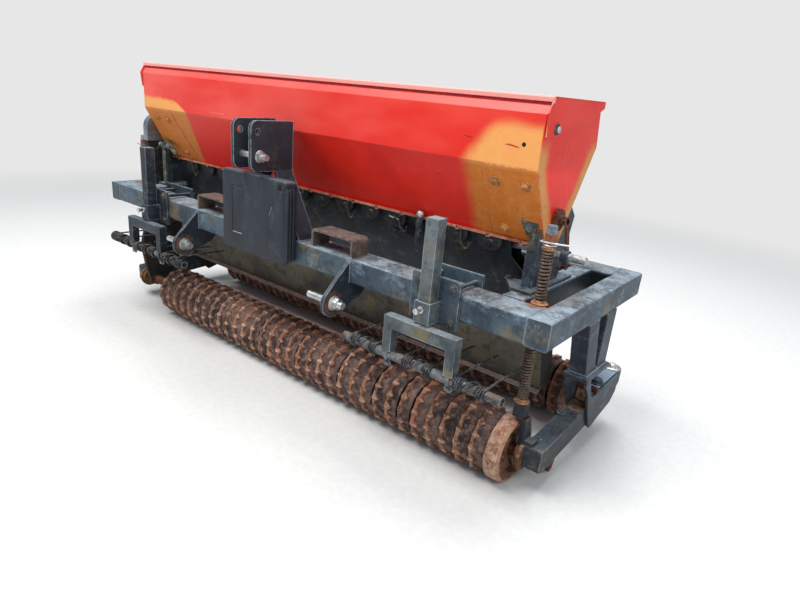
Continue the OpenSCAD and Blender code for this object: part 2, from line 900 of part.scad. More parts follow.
// Place of each double tine along its pipe, from the post's middle
tine_places = [-187, 8, 176];
coil_mid = 32;
coil_w = 30;
coil_r = pipe_r + seat + 2 * wire_r;
wire_out = 40;
module tines(x) {
    color(rust)
        for (t = tine_places, s = [-1, 1]) {
            difference() {
                bar_x(x + t + s * coil_mid - coil_w / 2, x + t + s * coil_mid + coil_w / 2,
                      back(pipe_back), over(pipe_z), coil_r);
                bar_x(x + t + s * coil_mid - coil_w, x + t + s * coil_mid + coil_w,
                      back(pipe_back), over(pipe_z), pipe_r + seat);
            }
            bar_y(x + t + s * wire_out, back(pipe_back + pipe_r + 2), back(pipe_back + 220), over(pipe_z + 10), wire_r);
        }
}

// Rollers
end_gap = 10.7;
chain_room = 225;
front_right = bearing_places[0][1] - bearing_t - end_gap;
front_rings = floor((front_right + bearing_places[0][1] - bearing_t - chain_room) / ring_pitch);
rear_rings = floor(2 * (bearing_places[1][1] - bearing_t - end_gap) / ring_pitch);

// Outline of one ring: the raised crown on its left, the smooth drum, then the gap
function ring_outline(x) = [
    [drum_r, x],
    [ring_r - 2, x + 1],
    [ring_r, x + 4],
    [ring_r, x + crown_w],
    [drum_r, x + crown_w + 5],
    [drum_r, x + ring_pitch - ring_gap],
    [drum_r - 8, x + ring_pitch - ring_gap],
    [drum_r - 8, x + ring_pitch]
];

module roller(n, right, d) {
    len = n * ring_pitch - ring_gap;
    color(rust)
        translate([right - len, back(d), ring_r])
            rotate([0, 90, 0])
                rotate_extrude()
                    polygon(concat(
                        [[axle_r, 0]],
                        [for (i = [0 : n - 1], p = ring_outline(i * ring_pitch)) if (p[1] < len - 0.1) p],
                        [[drum_r, len], [axle_r, len]]
                    ));
}

module axle(p) {
    color(zinc)
        bar_x(-p[1] + 1, p[1] - 1, back(p[0]), ring_r, axle_r);
}

beam(0, front_beam_d);  // beam_front
beam(frame_d - rear_beam_d, frame_d);  // beam_rear
side_beam(-1);  // side_beam_left
side_beam(1);  // side_beam_right
inner_rails();
leg(-1);  // leg_left
leg(1);  // leg_right
arm_front(-1);  // arm_front_left
arm_front(1);  // arm_front_right
arm_rear(-1);  // arm_rear_left
arm_rear(1);  // arm_rear_right
pivot_bolts();
bearings();
spring_rods();
spring_coils();
mast();
top_link_pin();
lower_lugs();
lower_pins();
strap_loops();
document_box();
hopper_shell();
hopper_ends();
hopper_patches();
hopper_mounts();
hopper_lid();
seed_shield();
ground_sheets();
feed_shafts();
feed_lever();
chain_case();
chain_cover();
tine_clamp(-post_left);  // tine_clamp_left
tine_clamp(post_right);  // tine_clamp_right
tine_post(-post_left);  // tine_post_left
tine_post(post_right);  // tine_post_right
tine_pipe(-post_left);  // tine_pipe_left
tine_pipe(post_right);  // tine_pipe_right
tines(-post_left);  // tines_left
tines(post_right);  // tines_right
roller(front_rings, front_right, front_axle_back);  // roller_front
roller(rear_rings, (rear_rings * ring_pitch - ring_gap) / 2, rear_axle_back);  // roller_rear
axle(bearing_places[0]);  // axle_front
axle(bearing_places[1]);  // axle_rear
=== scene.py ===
import math
import random
import bmesh
import bpy
from mathutils import Matrix, Vector, noise


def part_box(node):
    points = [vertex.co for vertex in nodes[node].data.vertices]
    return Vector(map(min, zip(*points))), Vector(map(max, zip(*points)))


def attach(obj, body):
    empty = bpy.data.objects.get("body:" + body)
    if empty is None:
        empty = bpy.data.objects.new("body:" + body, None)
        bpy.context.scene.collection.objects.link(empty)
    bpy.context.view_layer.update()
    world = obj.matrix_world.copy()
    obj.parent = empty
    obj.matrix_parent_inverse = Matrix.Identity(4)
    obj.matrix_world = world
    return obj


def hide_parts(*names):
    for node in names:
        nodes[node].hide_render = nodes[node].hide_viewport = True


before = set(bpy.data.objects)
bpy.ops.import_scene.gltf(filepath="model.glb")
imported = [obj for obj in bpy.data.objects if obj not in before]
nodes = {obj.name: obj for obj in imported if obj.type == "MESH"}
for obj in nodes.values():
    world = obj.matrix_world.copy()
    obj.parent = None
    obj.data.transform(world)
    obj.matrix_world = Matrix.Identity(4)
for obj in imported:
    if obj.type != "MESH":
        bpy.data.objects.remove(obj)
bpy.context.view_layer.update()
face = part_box("beam_front")[0].y
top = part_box("beam_front")[1].z


# Camera
# A phone held at head height near the machine's right front corner, tipped
# down and rolled a little, as a fit to the photographed corners gives it.
camera_at = Vector((1.542, face - 1.234, top + 0.490))
azimuth, pitch, roll = (math.radians(a) for a in (37.25, 19.91, 5.22))
ahead = Vector((-math.sin(azimuth) * math.cos(pitch), math.cos(azimuth) * math.cos(pitch), -math.sin(pitch)))
level = Vector((math.cos(azimuth), math.sin(azimuth), 0))
upward = level.cross(ahead)
right = level * math.cos(roll) + upward * math.sin(roll)
above = upward * math.cos(roll) - level * math.sin(roll)
camera = bpy.data.objects.new("camera", bpy.data.cameras.new("camera"))
camera.matrix_world = Matrix.Translation(camera_at) @ Matrix((right, above, -ahead)).transposed().to_4x4()
camera.data.sensor_width = 36
camera.data.lens = 26.03
bpy.context.scene.collection.objects.link(camera)
bpy.context.scene.camera = camera


# Shading
# Every finish below is built from noise and from places on the machine, and
# sums and products of such values are written as plain arithmetic.
class Shade:
    """A socket in a material. Arithmetic on it adds maths nodes, and node() adds any other."""

    def __init__(self, tree, socket=None):
        self.tree, self.socket = tree, socket

    def node(self, kind, inputs=(), out=0, **settings):
        made = self.tree.nodes.new("ShaderNode" + kind)
        for name, value in settings.items():
            setattr(made, name, value)
        for name, value in dict(inputs).items():
            if isinstance(value, Shade):
                self.tree.links.new(value.socket, made.inputs[name])
            else:
                made.inputs[name].default_value = value
        return Shade(self.tree, made.outputs[out])

    def maths(self, operation, *values):
        return self.node("Math", enumerate(values), operation=operation)

    def __add__(self, other):
        return self.maths("ADD", self, other)

    __radd__ = __add__

    def __sub__(self, other):
        return self.maths("SUBTRACT", self, other)

    def __rsub__(self, other):
        return self.maths("SUBTRACT", other, self)

    def __mul__(self, other):
        return self.maths("MULTIPLY", self, other)

    __rmul__ = __mul__

    def __truediv__(self, other):
        return self.maths("DIVIDE", self, other)

    def __or__(self, other):
        return self.maths("MAXIMUM", self, other)

    def step(self, low, high):
        """0 below low and 1 above high, smooth between."""
        return self.node("MapRange", {0: self, 1: low, 2: high}, interpolation_type="SMOOTHSTEP")

    def mix(self, low, high):
        """The colour low where this is 0 and high where it is 1."""
        return self.node("Mix", {0: self, 6: low, 7: high}, out=2, data_type="RGBA")

    def grain(self, scale, detail=3.0, rough=0.55, stretch=(1, 1, 1)):
        """Noise between about 0.2 and 0.8 on the piece itself, drawn out along an axis by stretch."""
        place = self.node("TexCoord", out=3)
        place = place.node("Mapping", {0: place, 3: stretch})
        inputs = {"Vector": place, "Scale": scale, "Detail": detail, "Roughness": rough}
        return self.node("TexNoise", inputs)

    def place(self):
        """The three coordinates on the machine, in metres."""
        split = self.tree.nodes.new("ShaderNodeSeparateXYZ")
        self.tree.links.new(self.node("TexCoord", out=3).socket, split.inputs[0])
        return [Shade(self.tree, s) for s in split.outputs]

    def facing(self):
        """How far the surface faces +X, +Y and +Z."""
        split = self.tree.nodes.new("ShaderNodeSeparateXYZ")
        self.tree.links.new(self.node("NewGeometry", out=1).socket, split.inputs[0])
        return [Shade(self.tree, s) for s in split.outputs]

    def edge(self, radius):
        """1 along sharp outer edges and 0 on flat faces."""
        round_normal = self.node("Bevel", {"Radius": radius}, samples=6)
        flat_normal = self.node("NewGeometry", out=1)
        along = self.node("VectorMath", {0: round_normal, 1: flat_normal}, out=1, operation="DOT_PRODUCT")
        return (1 - along).step(0.01, 0.16)


def tone(red, green, blue):
    """A colour as it shows on a screen, 0 to 255, in the renderer's linear values."""
    def one(v):
        v = v / 255
        return v / 12.92 if v <= 0.04045 else ((v + 0.055) / 1.055) ** 2.4
    return one(red), one(green), one(blue), 1.0


def paper(name):
    """A new material and the Shade that its nodes start from."""
    material = bpy.data.materials.new(name)
    material.use_nodes = True
    return material, Shade(material.node_tree)


def finish(material, colour, rough, bump=None, depth=0.0005, metal=0.0, coat=0.0):
    """Joins a material's values to its shader."""
    tree = material.node_tree
    shader = tree.nodes["Principled BSDF"]
    parts = {"Base Color": colour, "Roughness": rough, "Metallic": metal}
    if bump:
        parts["Normal"] = bump.node("Bump", {"Height": bump, "Distance": depth, "Strength": 1.0})
    for name, value in parts.items():
        if isinstance(value, Shade):
            tree.links.new(value.socket, shader.inputs[name])
        else:
            shader.inputs[name].default_value = value
    shader.inputs["Coat Weight"].default_value = coat
    shader.inputs["Specular IOR Level"].default_value = 0.36
    shader.inputs["Coat Roughness"].default_value = 0.25
    return material


# Frame paint
# Dark slate enamel on welded steel tube, chalked by the sun, with dried dust
# on upward faces, ochre mud stains, rubbed edges and rust where it chipped.
# Inside the spring slots the colour is darkened as painted shade.
rod_x, rod_back = 0.970, 0.114
link_back, link_over = -0.063, -0.126


def frame_paint(name, base, light, dust, wear, mud=0.0, yellow=0.0, band=False, pin=False):
    """yellow is the arms' old paint, band the sheets' rusty foot and pin the lugs' worn rings."""
    material, s = paper(name)
    x, y, z = s.place()
    up = s.facing()[2]
    broad = s.grain(5, 4, 0.6)
    fine = s.grain(60, 5, 0.65)
    streak = s.grain(14, 4, 0.6, (1, 1, 0.25))
    colour = broad.step(0.35, 0.66).mix(tone(*base), tone(*light))
    chalk = (streak * 0.6 + fine * 0.4).step(0.42, 0.66)
    colour = (chalk * 0.35 * dust).mix(colour, tone(108, 128, 144))
    blot = (s.grain(17, 5, 0.7) * 0.7 + fine * 0.3).step(0.5, 0.58)
    colour = (blot * 0.6).mix(colour, tone(30, 42, 54))
    pale = (s.grain(25, 5, 0.72, (0.5, 0.5, 1)) * 0.75 + fine * 0.25).step(0.53, 0.62)
    colour = (pale * 0.5 * dust).mix(colour, tone(128, 150, 166))
    stain = (s.grain(9, 5, 0.62) * 0.65 + fine * 0.35).step(0.53, 0.64)
    colour = (stain * (0.2 + mud)).mix(colour, tone(112, 100, 68))
    lying = up.step(0.4, 0.9)
    settled = lying * (s.grain(11, 4, 0.6) * 0.7 + fine * 0.5).step(0.42, 0.6)
    colour = (settled * dust).mix(colour, tone(148, 162, 172))
    brown = lying * s.grain(6, 4, 0.6).step(0.5, 0.62) * dust
    colour = (brown * 0.6).mix(colour, tone(98, 86, 74))
    bare = lying * (s.grain(13, 5, 0.7) * 0.65 + fine * 0.35).step(0.5, 0.56) * dust
    colour = (bare * 0.8).mix(colour, tone(48, 56, 66))
    speck = lying * s.grain(85, 4, 0.7).step(0.58, 0.66) * dust
    colour = (speck * 0.7).mix(colour, tone(186, 204, 216))
    wide = x.maths("ABSOLUTE", x) - rod_x
    deep = y - face - rod_back
    ring = (wide * wide + deep * deep + (fine - 0.5) * 0.0012).step(0.0007, 0.0024)
    colour = ((1 - ring) * lying * 0.8).mix(colour, tone(134, 88, 52))
    # Painted shade: inside each spring slot, below the beam's top, the colour goes near black.
    slot = wide.step(-0.0425, -0.0415) * (1 - wide.step(0.0265, 0.0275))
    slot = slot * (1 - (z - top).step(-0.012, -0.003))
    slot = slot * deep.step(-0.024, -0.020) * (1 - deep.step(0.461, 0.465))
    colour = (slot * 0.85).mix(colour, tone(14, 18, 25))
    if band:
        low = 1 - (z - top + (fine - 0.5) * 0.03).step(-0.352, -0.33)
        colour = (low * 0.85).mix(colour, fine.step(0.4, 0.6).mix(tone(52, 38, 30), tone(88, 60, 42)))
    if yellow:
        near = 1 - (y - face).step(0.10, 0.16)
        old = (s.grain(26, 4, 0.7) * 0.8 + fine * 0.2).step(0.53, 0.6) * near * yellow
        colour = old.mix(colour, tone(128, 104, 58))
        open_faces = up.step(0.3, 0.6) | (s.facing()[1] * -1.0).step(0.4, 0.6)
        inside = (y - face).step(0.34, 0.38) * (1 - (y - face).step(0.474, 0.475)) * open_faces
        colour = (inside * 0.85).mix(colour, fine.step(0.4, 0.6).mix(tone(92, 66, 48), tone(164, 132, 100)))
        crown = (z - top).step(-0.365, -0.355) * up.step(0.5, 0.9)
        colour = (crown * fine.step(0.25, 0.45) * 0.9).mix(colour, tone(150, 168, 184))
        colour = (crown * (1 - (y - face).step(0.462, 0.492))).mix(colour, tone(104, 70, 50))
    if pin:
        deep, high = y - face - link_back, z - top - link_over
        worn = 1 - (deep * deep + high * high + (fine - 0.5) * 0.0008).step(0.0009, 0.0018)
        colour = (worn * 0.8).mix(colour, fine.step(0.4, 0.6).mix(tone(66, 44, 34), tone(112, 80, 60)))
    edge = s.edge(0.004) * (fine * 0.5 + s.grain(9, 4, 0.7) * 0.7).step(0.5, 0.68)
    colour = (edge * wear * 0.8).mix(colour, tone(158, 174, 186))
    chip = (s.grain(34, 5, 0.72) * 0.8 + broad * 0.25).step(0.66, 0.685)
    colour = (chip * 0.8).mix(colour, tone(112, 66, 42))
    rough = 0.42 + 0.3 * fine + 0.2 * settled + 0.2 * chip
    return finish(material, colour, rough, fine * 0.5 + broad * 0.8 - chip * 0.4, 0.0011, coat=0.05)


paint_beam = frame_paint("paint_beam", (40, 54, 66), (76, 92, 104), 0.75, 1.0, 0.5)
paint_leg = frame_paint("paint_leg", (30, 37, 46), (48, 56, 65), 0.35, 0.6, 0.05)
paint_arm = frame_paint("paint_arm", (19, 25, 33), (33, 41, 50), 0.2, 0.9, 0.05, 0.8)
paint_mast = frame_paint("paint_mast", (27, 33, 41), (41, 48, 56), 0.12, 2.0)
paint_lug = frame_paint("paint_lug", (20, 26, 36), (34, 42, 53), 0.2, 0.9, pin=True)
paint_tine = frame_paint("paint_tine", (38, 40, 42), (98, 104, 104), 0.45, 1.1, 0.6)
paint_clamp = frame_paint("paint_clamp", (44, 56, 68), (76, 92, 104), 0.4, 1.2, 0.3)
paint_left = frame_paint("paint_left", (26, 33, 42), (44, 52, 62), 0.3, 0.9, 0.05)
paint_dark = frame_paint("paint_dark", (15, 19, 27), (28, 34, 43), 0.2, 0.3, 0.05)


# Hopper paint
# Bright red enamel over folded sheet, bleached to pink along the top bevel and
# patched with ochre primer sprayed loosely round the repaired ends. The lower
# panel is brightened as painted light, and the lid's lip has a painted sheen.
def hopper_paint(name, sides):
    material, s = paper(name)
    x, y, z = s.place()
    up = s.facing()[2]
    height = z - top
    wide = x.maths("ABSOLUTE", x)
    broad = s.grain(3.2, 4, 0.6)
    fine = s.grain(48, 5, 0.62)
    haze = s.grain(2.1, 3, 0.6, (1, 1, 2.5))
    lower = 1 - height.step(0.318, 0.338)
    upper_tone = haze.step(0.38, 0.62).mix(tone(212, 28, 14), tone(218, 52, 40))
    # The lower panel is a deeper red, and painted light makes it brighter than the upper panel to offset the
    # shade on its down-facing slope.
    lower_red_and_painted_light = broad.step(0.36, 0.62).mix(tone(208, 20, 8), tone(232, 40, 22))
    colour = lower.mix(upper_tone, lower_red_and_painted_light)
    pink = (x * -0.25 + haze).step(0.3, 0.95) * (1 - lower)
    colour = (pink * 0.6).mix(colour, tone(226, 100, 92))
    bleach = height.step(0.462, 0.47) * up.step(0.2, 0.5) * (0.55 + 0.5 * fine)
    colour = (bleach * 0.3).mix(colour, tone(226, 126, 120))
    # The lid's lip is paled to pink: partly sun-faded paint, partly a painted sheen.
    lip_fade_and_sheen = height.step(0.4905, 0.4915) * (1 - (y - face).step(0.112, 0.116))
    colour = (lip_fade_and_sheen * 0.6).mix(colour, tone(232, 176, 168))
    if sides:
        front = y - face - (0.334 - height | 0.0) * 0.562 - 0.097
        rear = 0.45 - (0.383 - height | 0.0) * 0.598 - (y - face)
        spray = (fine - 0.5) * 0.02 + (broad - 0.5) * 0.03
        band = (1 - (front + spray).step(0.022, 0.062)) | (1 - (rear + spray).step(0.016, 0.06))
        primer = band * (1 - (height + spray).step(0.36, 0.412)) * (1 - wide.step(0.9158, 0.9164))
        deep = tone(196, 138, 74)
    else:
        spray = (fine - 0.5) * 0.012 + (broad - 0.5) * 0.05
        right_in = x - 0.692 - (height - 0.334 | 0.0) * 0.8
        left_in = -0.612 - x - (0.334 - height) * 0.24 - (height - 0.334 | 0.0) * 2.2
        reach = (right_in + spray).step(-0.024, 0.034)
        crown = 1 - (height + spray).step(0.415, 0.452)
        left = (left_in + spray * 0.6).step(-0.008, 0.012) * (1 - (height + spray).step(0.366, 0.384))
        facing = s.facing()
        primer = (reach * crown | left) * (1 - facing[1].step(0.2, 0.5))
        primer = primer * (1 - (facing[0] * facing[0]).step(0.2, 0.4))
        deep = lower.mix(tone(224, 154, 82), tone(206, 114, 26))
    worn = (fine * 0.5 + broad * 0.5).step(0.4, 0.62)
    deep = (worn * 0.25).mix(deep, tone(226, 176, 112))
    colour = (primer * 0.96).mix(colour, deep)
    scratch = s.grain(26, 3, 0.6, (0.3, 1, 4)).step(0.7, 0.73)
    colour = (scratch * 0.35).mix(colour, tone(226, 160, 150))
    edge = s.edge(0.003) * (fine * 0.7 + s.grain(20, 3) * 0.5).step(0.55, 0.72)
    colour = (edge * 0.5).mix(colour, tone(214, 150, 136))
    chip = (s.grain(40, 5, 0.72) * 0.85 + broad * 0.2).step(0.68, 0.70)
    colour = (chip * 0.7).mix(colour, tone(120, 58, 34))
    dust = up.step(0.5, 0.95) * s.grain(8, 4, 0.6).step(0.42, 0.62)
    colour = (dust * 0.2).mix(colour, tone(206, 160, 148))
    rough = 0.3 + 0.22 * fine + primer * 0.22 + 0.15 * haze
    bump = s.grain(1.6, 2) * 3.0 + fine * 0.12 - chip * 0.15
    return finish(material, colour, rough, bump, 0.003, coat=0.08)


paint_hopper = hopper_paint("paint_hopper", False)
paint_hopper_end = hopper_paint("paint_hopper_end", True)


# Bare and rusty metal
# Iron and spring steel with brown scale and pits, zinc plate gone dull, and
# the rolled cover's galvanised sheet.
def rusty(name, dark, mid, bright, scale=1.0, worn=0.4, metal=0.1):
    material, s = paper(name)
    up = s.facing()[2]
    broad = s.grain(9 * scale, 5, 0.65)
    fine = s.grain(90 * scale, 6, 0.7)
    pits = s.grain(38 * scale, 5, 0.7)
    colour = (broad * 0.6 + pits * 0.4).step(0.4, 0.6).mix(tone(*dark), tone(*mid))
    colour = (pits * 0.55 + fine * 0.45).step(0.5, 0.64).mix(colour, tone(*bright))
    edge = s.edge(0.003) * (fine * 0.6 + pits * 0.5).step(0.42, 0.62)
    colour = (edge * worn).mix(colour, tone(196, 172, 152))
    soil = up.step(0.3, 0.9) * s.grain(13, 4, 0.6).step(0.45, 0.62)
    colour = (soil * 0.35).mix(colour, tone(150, 128, 108))
    return finish(material, colour, 0.62 + 0.3 * fine, fine * 0.6 + pits * 0.9, 0.0009, metal)


def bare(name, dark, bright, scale=1.0, rough=0.34):
    material, s = paper(name)
    broad = s.grain(12 * scale, 4, 0.6)
    fine = s.grain(120 * scale, 5, 0.65)
    colour = (broad * 0.6 + fine * 0.4).step(0.38, 0.62).mix(tone(*dark), tone(*bright))
    spot = (s.grain(45 * scale, 5, 0.7)).step(0.66, 0.7)
    colour = (spot * 0.8).mix(colour, tone(122, 84, 58))
    return finish(material, colour, rough + 0.3 * fine + 0.3 * spot, fine + broad * 0.4, 0.0004, 1 - spot)


def rod_finish(name):
    """Turned steel with a grey painted cap, a rusty sleeve below it and a painted foot."""
    material, s = paper(name)
    height = s.place()[2] - top
    fine = s.grain(110, 5, 0.7)
    broad = s.grain(30, 4, 0.6)
    patchy = (fine * 0.5 + broad * 0.5).step(0.42, 0.6)
    steel = patchy.mix(tone(30, 27, 26), tone(56, 46, 40))
    sleeve = patchy.mix(tone(104, 58, 42), tone(150, 92, 62))
    cap = patchy.mix(tone(86, 96, 106), tone(128, 138, 146))
    foot = patchy.mix(tone(58, 66, 74), tone(112, 112, 104))
    sleeved = (height + (broad - 0.5) * 0.008).step(0.158, 0.160)
    capped = (height + (broad - 0.5) * 0.014).step(0.184, 0.192)
    low = 1 - height.step(-0.2885, -0.2880)
    deep = 1 - (height + (broad - 0.5) * 0.03).step(-0.352, -0.334)
    boot = deep.mix(foot, patchy.mix(tone(70, 52, 42), tone(126, 84, 56)))
    colour = low.mix(capped.mix(sleeved.mix(steel, sleeve), cap), boot)
    return finish(material, colour, 0.5 + 0.3 * fine, fine + broad * 0.5, 0.0007, 0.15)


def shaft_finish(name):
    """A bright drive shaft below, and a rusty one with its flange above."""
    material, s = paper(name)
    fine = s.grain(110, 5, 0.7)
    old = (s.place()[2] - top).step(0.14, 0.15)
    bright = fine.step(0.4, 0.6).mix(tone(150, 154, 156), tone(206, 208, 208))
    brown = fine.step(0.4, 0.6).mix(tone(70, 38, 26), tone(112, 62, 40))
    return finish(material, old.mix(bright, brown), 0.36 + 0.3 * fine + 0.2 * old, fine, 0.0005, 1 - old)


iron_rust = rusty("iron_rust", (74, 50, 42), (112, 72, 50), (150, 96, 60))
spring_rust = rusty("spring_rust", (54, 46, 42), (88, 74, 64), (136, 104, 80), 1.6, 0.5)
loop_rust = rusty("loop_rust", (76, 70, 68), (104, 90, 82), (134, 108, 90), 1.2, 0.5)
deep_rust = rusty("deep_rust", (62, 30, 20), (98, 50, 32), (136, 80, 50), 1.2, 0.3)
case_rust = rusty("case_rust", (28, 27, 29), (46, 42, 41), (74, 60, 50), 0.8, 0.4)
bearing_rust = rusty("bearing_rust", (84, 56, 34), (124, 86, 46), (158, 116, 60), 1.2)
rod_steel = rod_finish("rod_steel")
zinc = bare("zinc", (166, 169, 170), (222, 223, 222), 1.4, 0.3)
dull_zinc = bare("dull_zinc", (92, 98, 102), (150, 156, 160), 1.4, 0.42)
galvanised = bare("galvanised", (128, 138, 148), (176, 186, 194), 0.8, 0.36)
black_steel = rusty("black_steel", (22, 27, 34), (44, 52, 62), (120, 130, 140), 1.6, 0.5, 0.5)
pipe_steel = rusty("pipe_steel", (66, 62, 60), (104, 108, 112), (140, 144, 146), 1.2, 0.5, 0.3)
green_steel = rusty("green_steel", (58, 62, 56), (92, 94, 84), (150, 146, 126), 1.2, 0.4, 0.3)
paint_weld = frame_paint("paint_weld", (64, 78, 90), (112, 126, 136), 0.5, 1.0, 0.2)
pale_weld_and_highlight = bare("pale_weld_and_highlight", (120, 134, 146), (176, 188, 196), 1.0, 0.5)
dark_steel = rusty("dark_steel", (40, 46, 54), (66, 74, 82), (104, 104, 100), 1.5, 0.7, 0.3)
primer_steel = rusty("primer_steel", (150, 92, 44), (196, 126, 60), (222, 164, 96), 1.5, 0.7, 0.1)
primer_weld = rusty("primer_weld", (170, 106, 50), (214, 146, 78), (238, 182, 114), 2.0, 0.5, 0.1)
hem_paint = rusty("hem_paint", (164, 92, 72), (202, 126, 100), (222, 166, 140), 0.7, 0.8, 0.0)
housing_black = rusty("housing_black", (22, 24, 27), (34, 36, 40), (62, 60, 56), 1.0, 0.5, 0.0)
strap_steel = rusty("strap_steel", (30, 32, 35), (52, 54, 56), (96, 98, 96), 1.4, 0.4, 0.3)
washer_rust = rusty("washer_rust", (122, 82, 52), (160, 112, 74), (194, 148, 104), 1.6, 0.5, 0.2)


# Charcoal plastic of the document box
# Moulded polyethylene with a fine texture, scuffed grey in broad smears and
# rubbed lighter along the moulding's corners, with painted light on its top.
def moulded(name):
    material, s = paper(name)
    up = s.facing()[2]
    broad = s.grain(5, 4, 0.6, (1, 1, 0.4))
    fine = s.grain(220, 3, 0.6)
    colour = broad.step(0.36, 0.64).mix(tone(27, 32, 41), tone(41, 47, 57))
    scuff = (s.grain(18, 5, 0.7, (1, 1, 0.5)) * 0.8 + fine * 0.2).step(0.55, 0.66)
    colour = (scuff * 0.3).mix(colour, tone(84, 90, 95))
    # Painted light: faces turned upward are lightened grey, as if lit from above.
    colour = (up.step(0.4, 0.9) * 0.5).mix(colour, tone(92, 97, 102))
    edge = s.edge(0.004) * fine.step(0.35, 0.7)
    colour = (edge * 0.45).mix(colour, tone(122, 128, 132))
    return finish(material, colour, 0.46 + 0.2 * fine + 0.15 * scuff, fine + broad * 0.6, 0.0005)


plastic = moulded("plastic")


# Rubber, strips and dark gaps
# The tine bands are worn black rubber and one scar is red. The lid's strips
# are a dark red of painted shade, and matt black is painted shade in notches
# and gaps that nothing lights.
def matt(name, dark, light, rough):
    material, s = paper(name)
    fine = s.grain(80, 5, 0.7)
    colour = fine.step(0.42, 0.66).mix(tone(*dark), tone(*light))
    return finish(material, colour, rough + 0.2 * fine, fine, 0.0006)


rubber = matt("rubber", (20, 22, 26), (48, 52, 58), 0.4)
scar_red = matt("scar_red", (150, 44, 30), (196, 70, 48), 0.6)
shadow_black = matt("shadow_black", (10, 11, 12), (20, 20, 20), 0.8)
gap_shade_red = matt("gap_shade_red", (150, 24, 26), (186, 40, 40), 0.7)


# Building meshes
# Pieces are gathered from swept tubes, turned forms and cut plates, then
# shaded smooth with sharp edges kept.
def at(x, back, over):
    """A place given across, behind the frame's front face and over its top, in metres."""
    return Vector((x, face + back, top + over))


class Shape:
    """A mesh gathered solid by solid and made into one piece at the end."""

    def __init__(self):
        self.points, self.faces = [], []

    def rings(self, rows):
        """Joins equal rings of points into a skin with its ends filled."""
        start, n = len(self.points), len(rows[0])
        self.points += [tuple(p) for row in rows for p in row]
        for i in range(len(rows) - 1):
            for j in range(n):
                a, b = start + i * n + j, start + i * n + (j + 1) % n
                self.faces.append((a, b, b + n, a + n))
        last = start + (len(rows) - 1) * n
        self.faces += [tuple(range(start, start + n)), tuple(range(last, last + n))]

    def tube(self, path, radius, sides=10):
        """A round bar along a path. radius may be one value or one for each point."""
        path = [Vector(p) for p in path]
        radii = radius if isinstance(radius, list) else [radius] * len(path)
        rows, side = [], None
        for i, p in enumerate(path):
            along = (path[min(i + 1, len(path) - 1)] - path[max(i - 1, 0)]).normalized()
            if side is None:
                side = along.orthogonal().normalized()
            side = (side - along * side.dot(along)).normalized()
            other = along.cross(side)
            turn = [2 * math.pi * k / sides for k in range(sides)]
            rows.append([p + (side * math.cos(t) + other * math.sin(t)) * radii[i] for t in turn])
        self.rings(rows)

    def turned(self, base, axis, profile, sides=24, start=0.0):
        """A turned form: profile holds (distance along the axis, radius). Six sides make a hexagon."""
        base, along = Vector(base), Vector(axis).normalized()
        side = along.orthogonal().normalized()
        other = along.cross(side)
        turn = [start + 2 * math.pi * k / sides for k in range(sides)]
        rows = [[base + along * d + (side * math.cos(t) + other * math.sin(t)) * r for t in turn]
                for d, r in profile]
        self.rings(rows)

    def slab(self, outline, thick):
        """A plate: its outline of points in space, and the vector from one face to the other."""
        thick = Vector(thick)
        self.rings([[Vector(p) for p in outline], [Vector(p) + thick for p in outline]])

    def plate(self, x, outline, thick):
        """A plate standing across at x, its outline given as (back, over) places."""
        self.slab([at(x, back, over) for back, over in outline], (thick, 0, 0))

    def panel(self, back, outline, thick, side=1):
        """A plate facing forward at back, its outline given as (x, over) places."""
        self.slab([at(side * x, back, over) for x, over in outline], (0, thick, 0))

    def block(self, low, high):
        (a, b, c), (d, e, f) = low, high
        self.slab([(a, b, c), (d, b, c), (d, e, c), (a, e, c)], (0, 0, f - c))

    def washer(self, base, axis, radius, thick=0.0025):
        lip = thick * 0.25
        self.turned(base, axis, [(0, radius), (thick - lip, radius), (thick, radius - lip)], 24)

    def bolt(self, base, axis, size=0.008, washer=True, shank=0.0):
        """A hexagon head on its washer; shank is how far a threaded end stands proud of a nut."""
        start = random.uniform(0, 1)
        if washer:
            self.washer(base, axis, size * 1.55)
            base = Vector(base) + Vector(axis).normalized() * 0.002
        high = size * 0.8
        hexagon = [(0, size * 0.98), (0.001, size * 1.08), (high - 0.0014, size * 1.08), (high, size * 0.86)]
        self.turned(base, axis, hexagon, 6, start)
        if shank:
            crests = int((high + shank) / 0.0015)
            thread = [(0.0015 * k, size * (0.6 if k % 2 else 0.53)) for k in range(crests)]
            self.turned(base, axis, thread + [(high + shank, size * 0.45)], 14)

    def weld(self, ends, radius=0.0028):
        """A weld bead along straight runs between points, rippled as the torch moved."""
        path, radii = [], []
        for a, b in zip(ends, ends[1:]):
            a, b = Vector(a), Vector(b)
            steps = max(2, int((b - a).length / 0.0022))
            for k in range(steps):
                jitter = Vector([random.uniform(-1, 1) * radius * 0.16 for _ in range(3)])
                path.append(a.lerp(b, k / steps) + jitter)
                radii.append(radius * (0.86 + 0.2 * abs(math.sin(k * 1.1)) + random.uniform(-0.06, 0.06)))
        path.append(Vector(ends[-1]))
        radii.append(radius * 0.7)
        self.tube(path, radii, 7)

    def bead(self, x, places, radius):
        """A weld bead in the plane at x, through (back, over) places."""
        self.weld([at(x, back, over) for back, over in places], radius)

    def piece(self, name, body, material, stands_for="", bevel=0.0):
        mesh = bpy.data.meshes.new(name)
        mesh.from_pydata(self.points, [], self.faces)
        work = bmesh.new()
        work.from_mesh(mesh)
        bmesh.ops.recalc_face_normals(work, faces=work.faces)
        work.to_mesh(mesh)
        work.free()
        mesh.polygons.foreach_set("use_smooth", [True] * len(mesh.polygons))
        mesh.set_sharp_from_angle(angle=math.radians(38))
        made = bpy.data.objects.new(name, mesh)
        bpy.context.scene.collection.objects.link(made)
        mesh.materials.append(material)
        if bevel:
            rounding = made.modifiers.new("rounding", "BEVEL")
            rounding.width, rounding.segments = bevel, 2
            rounding.limit_method, rounding.angle_limit = "ANGLE", math.radians(40)
        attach(made, body)
        if stands_for:
            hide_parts(*stands_for.split())
        return made


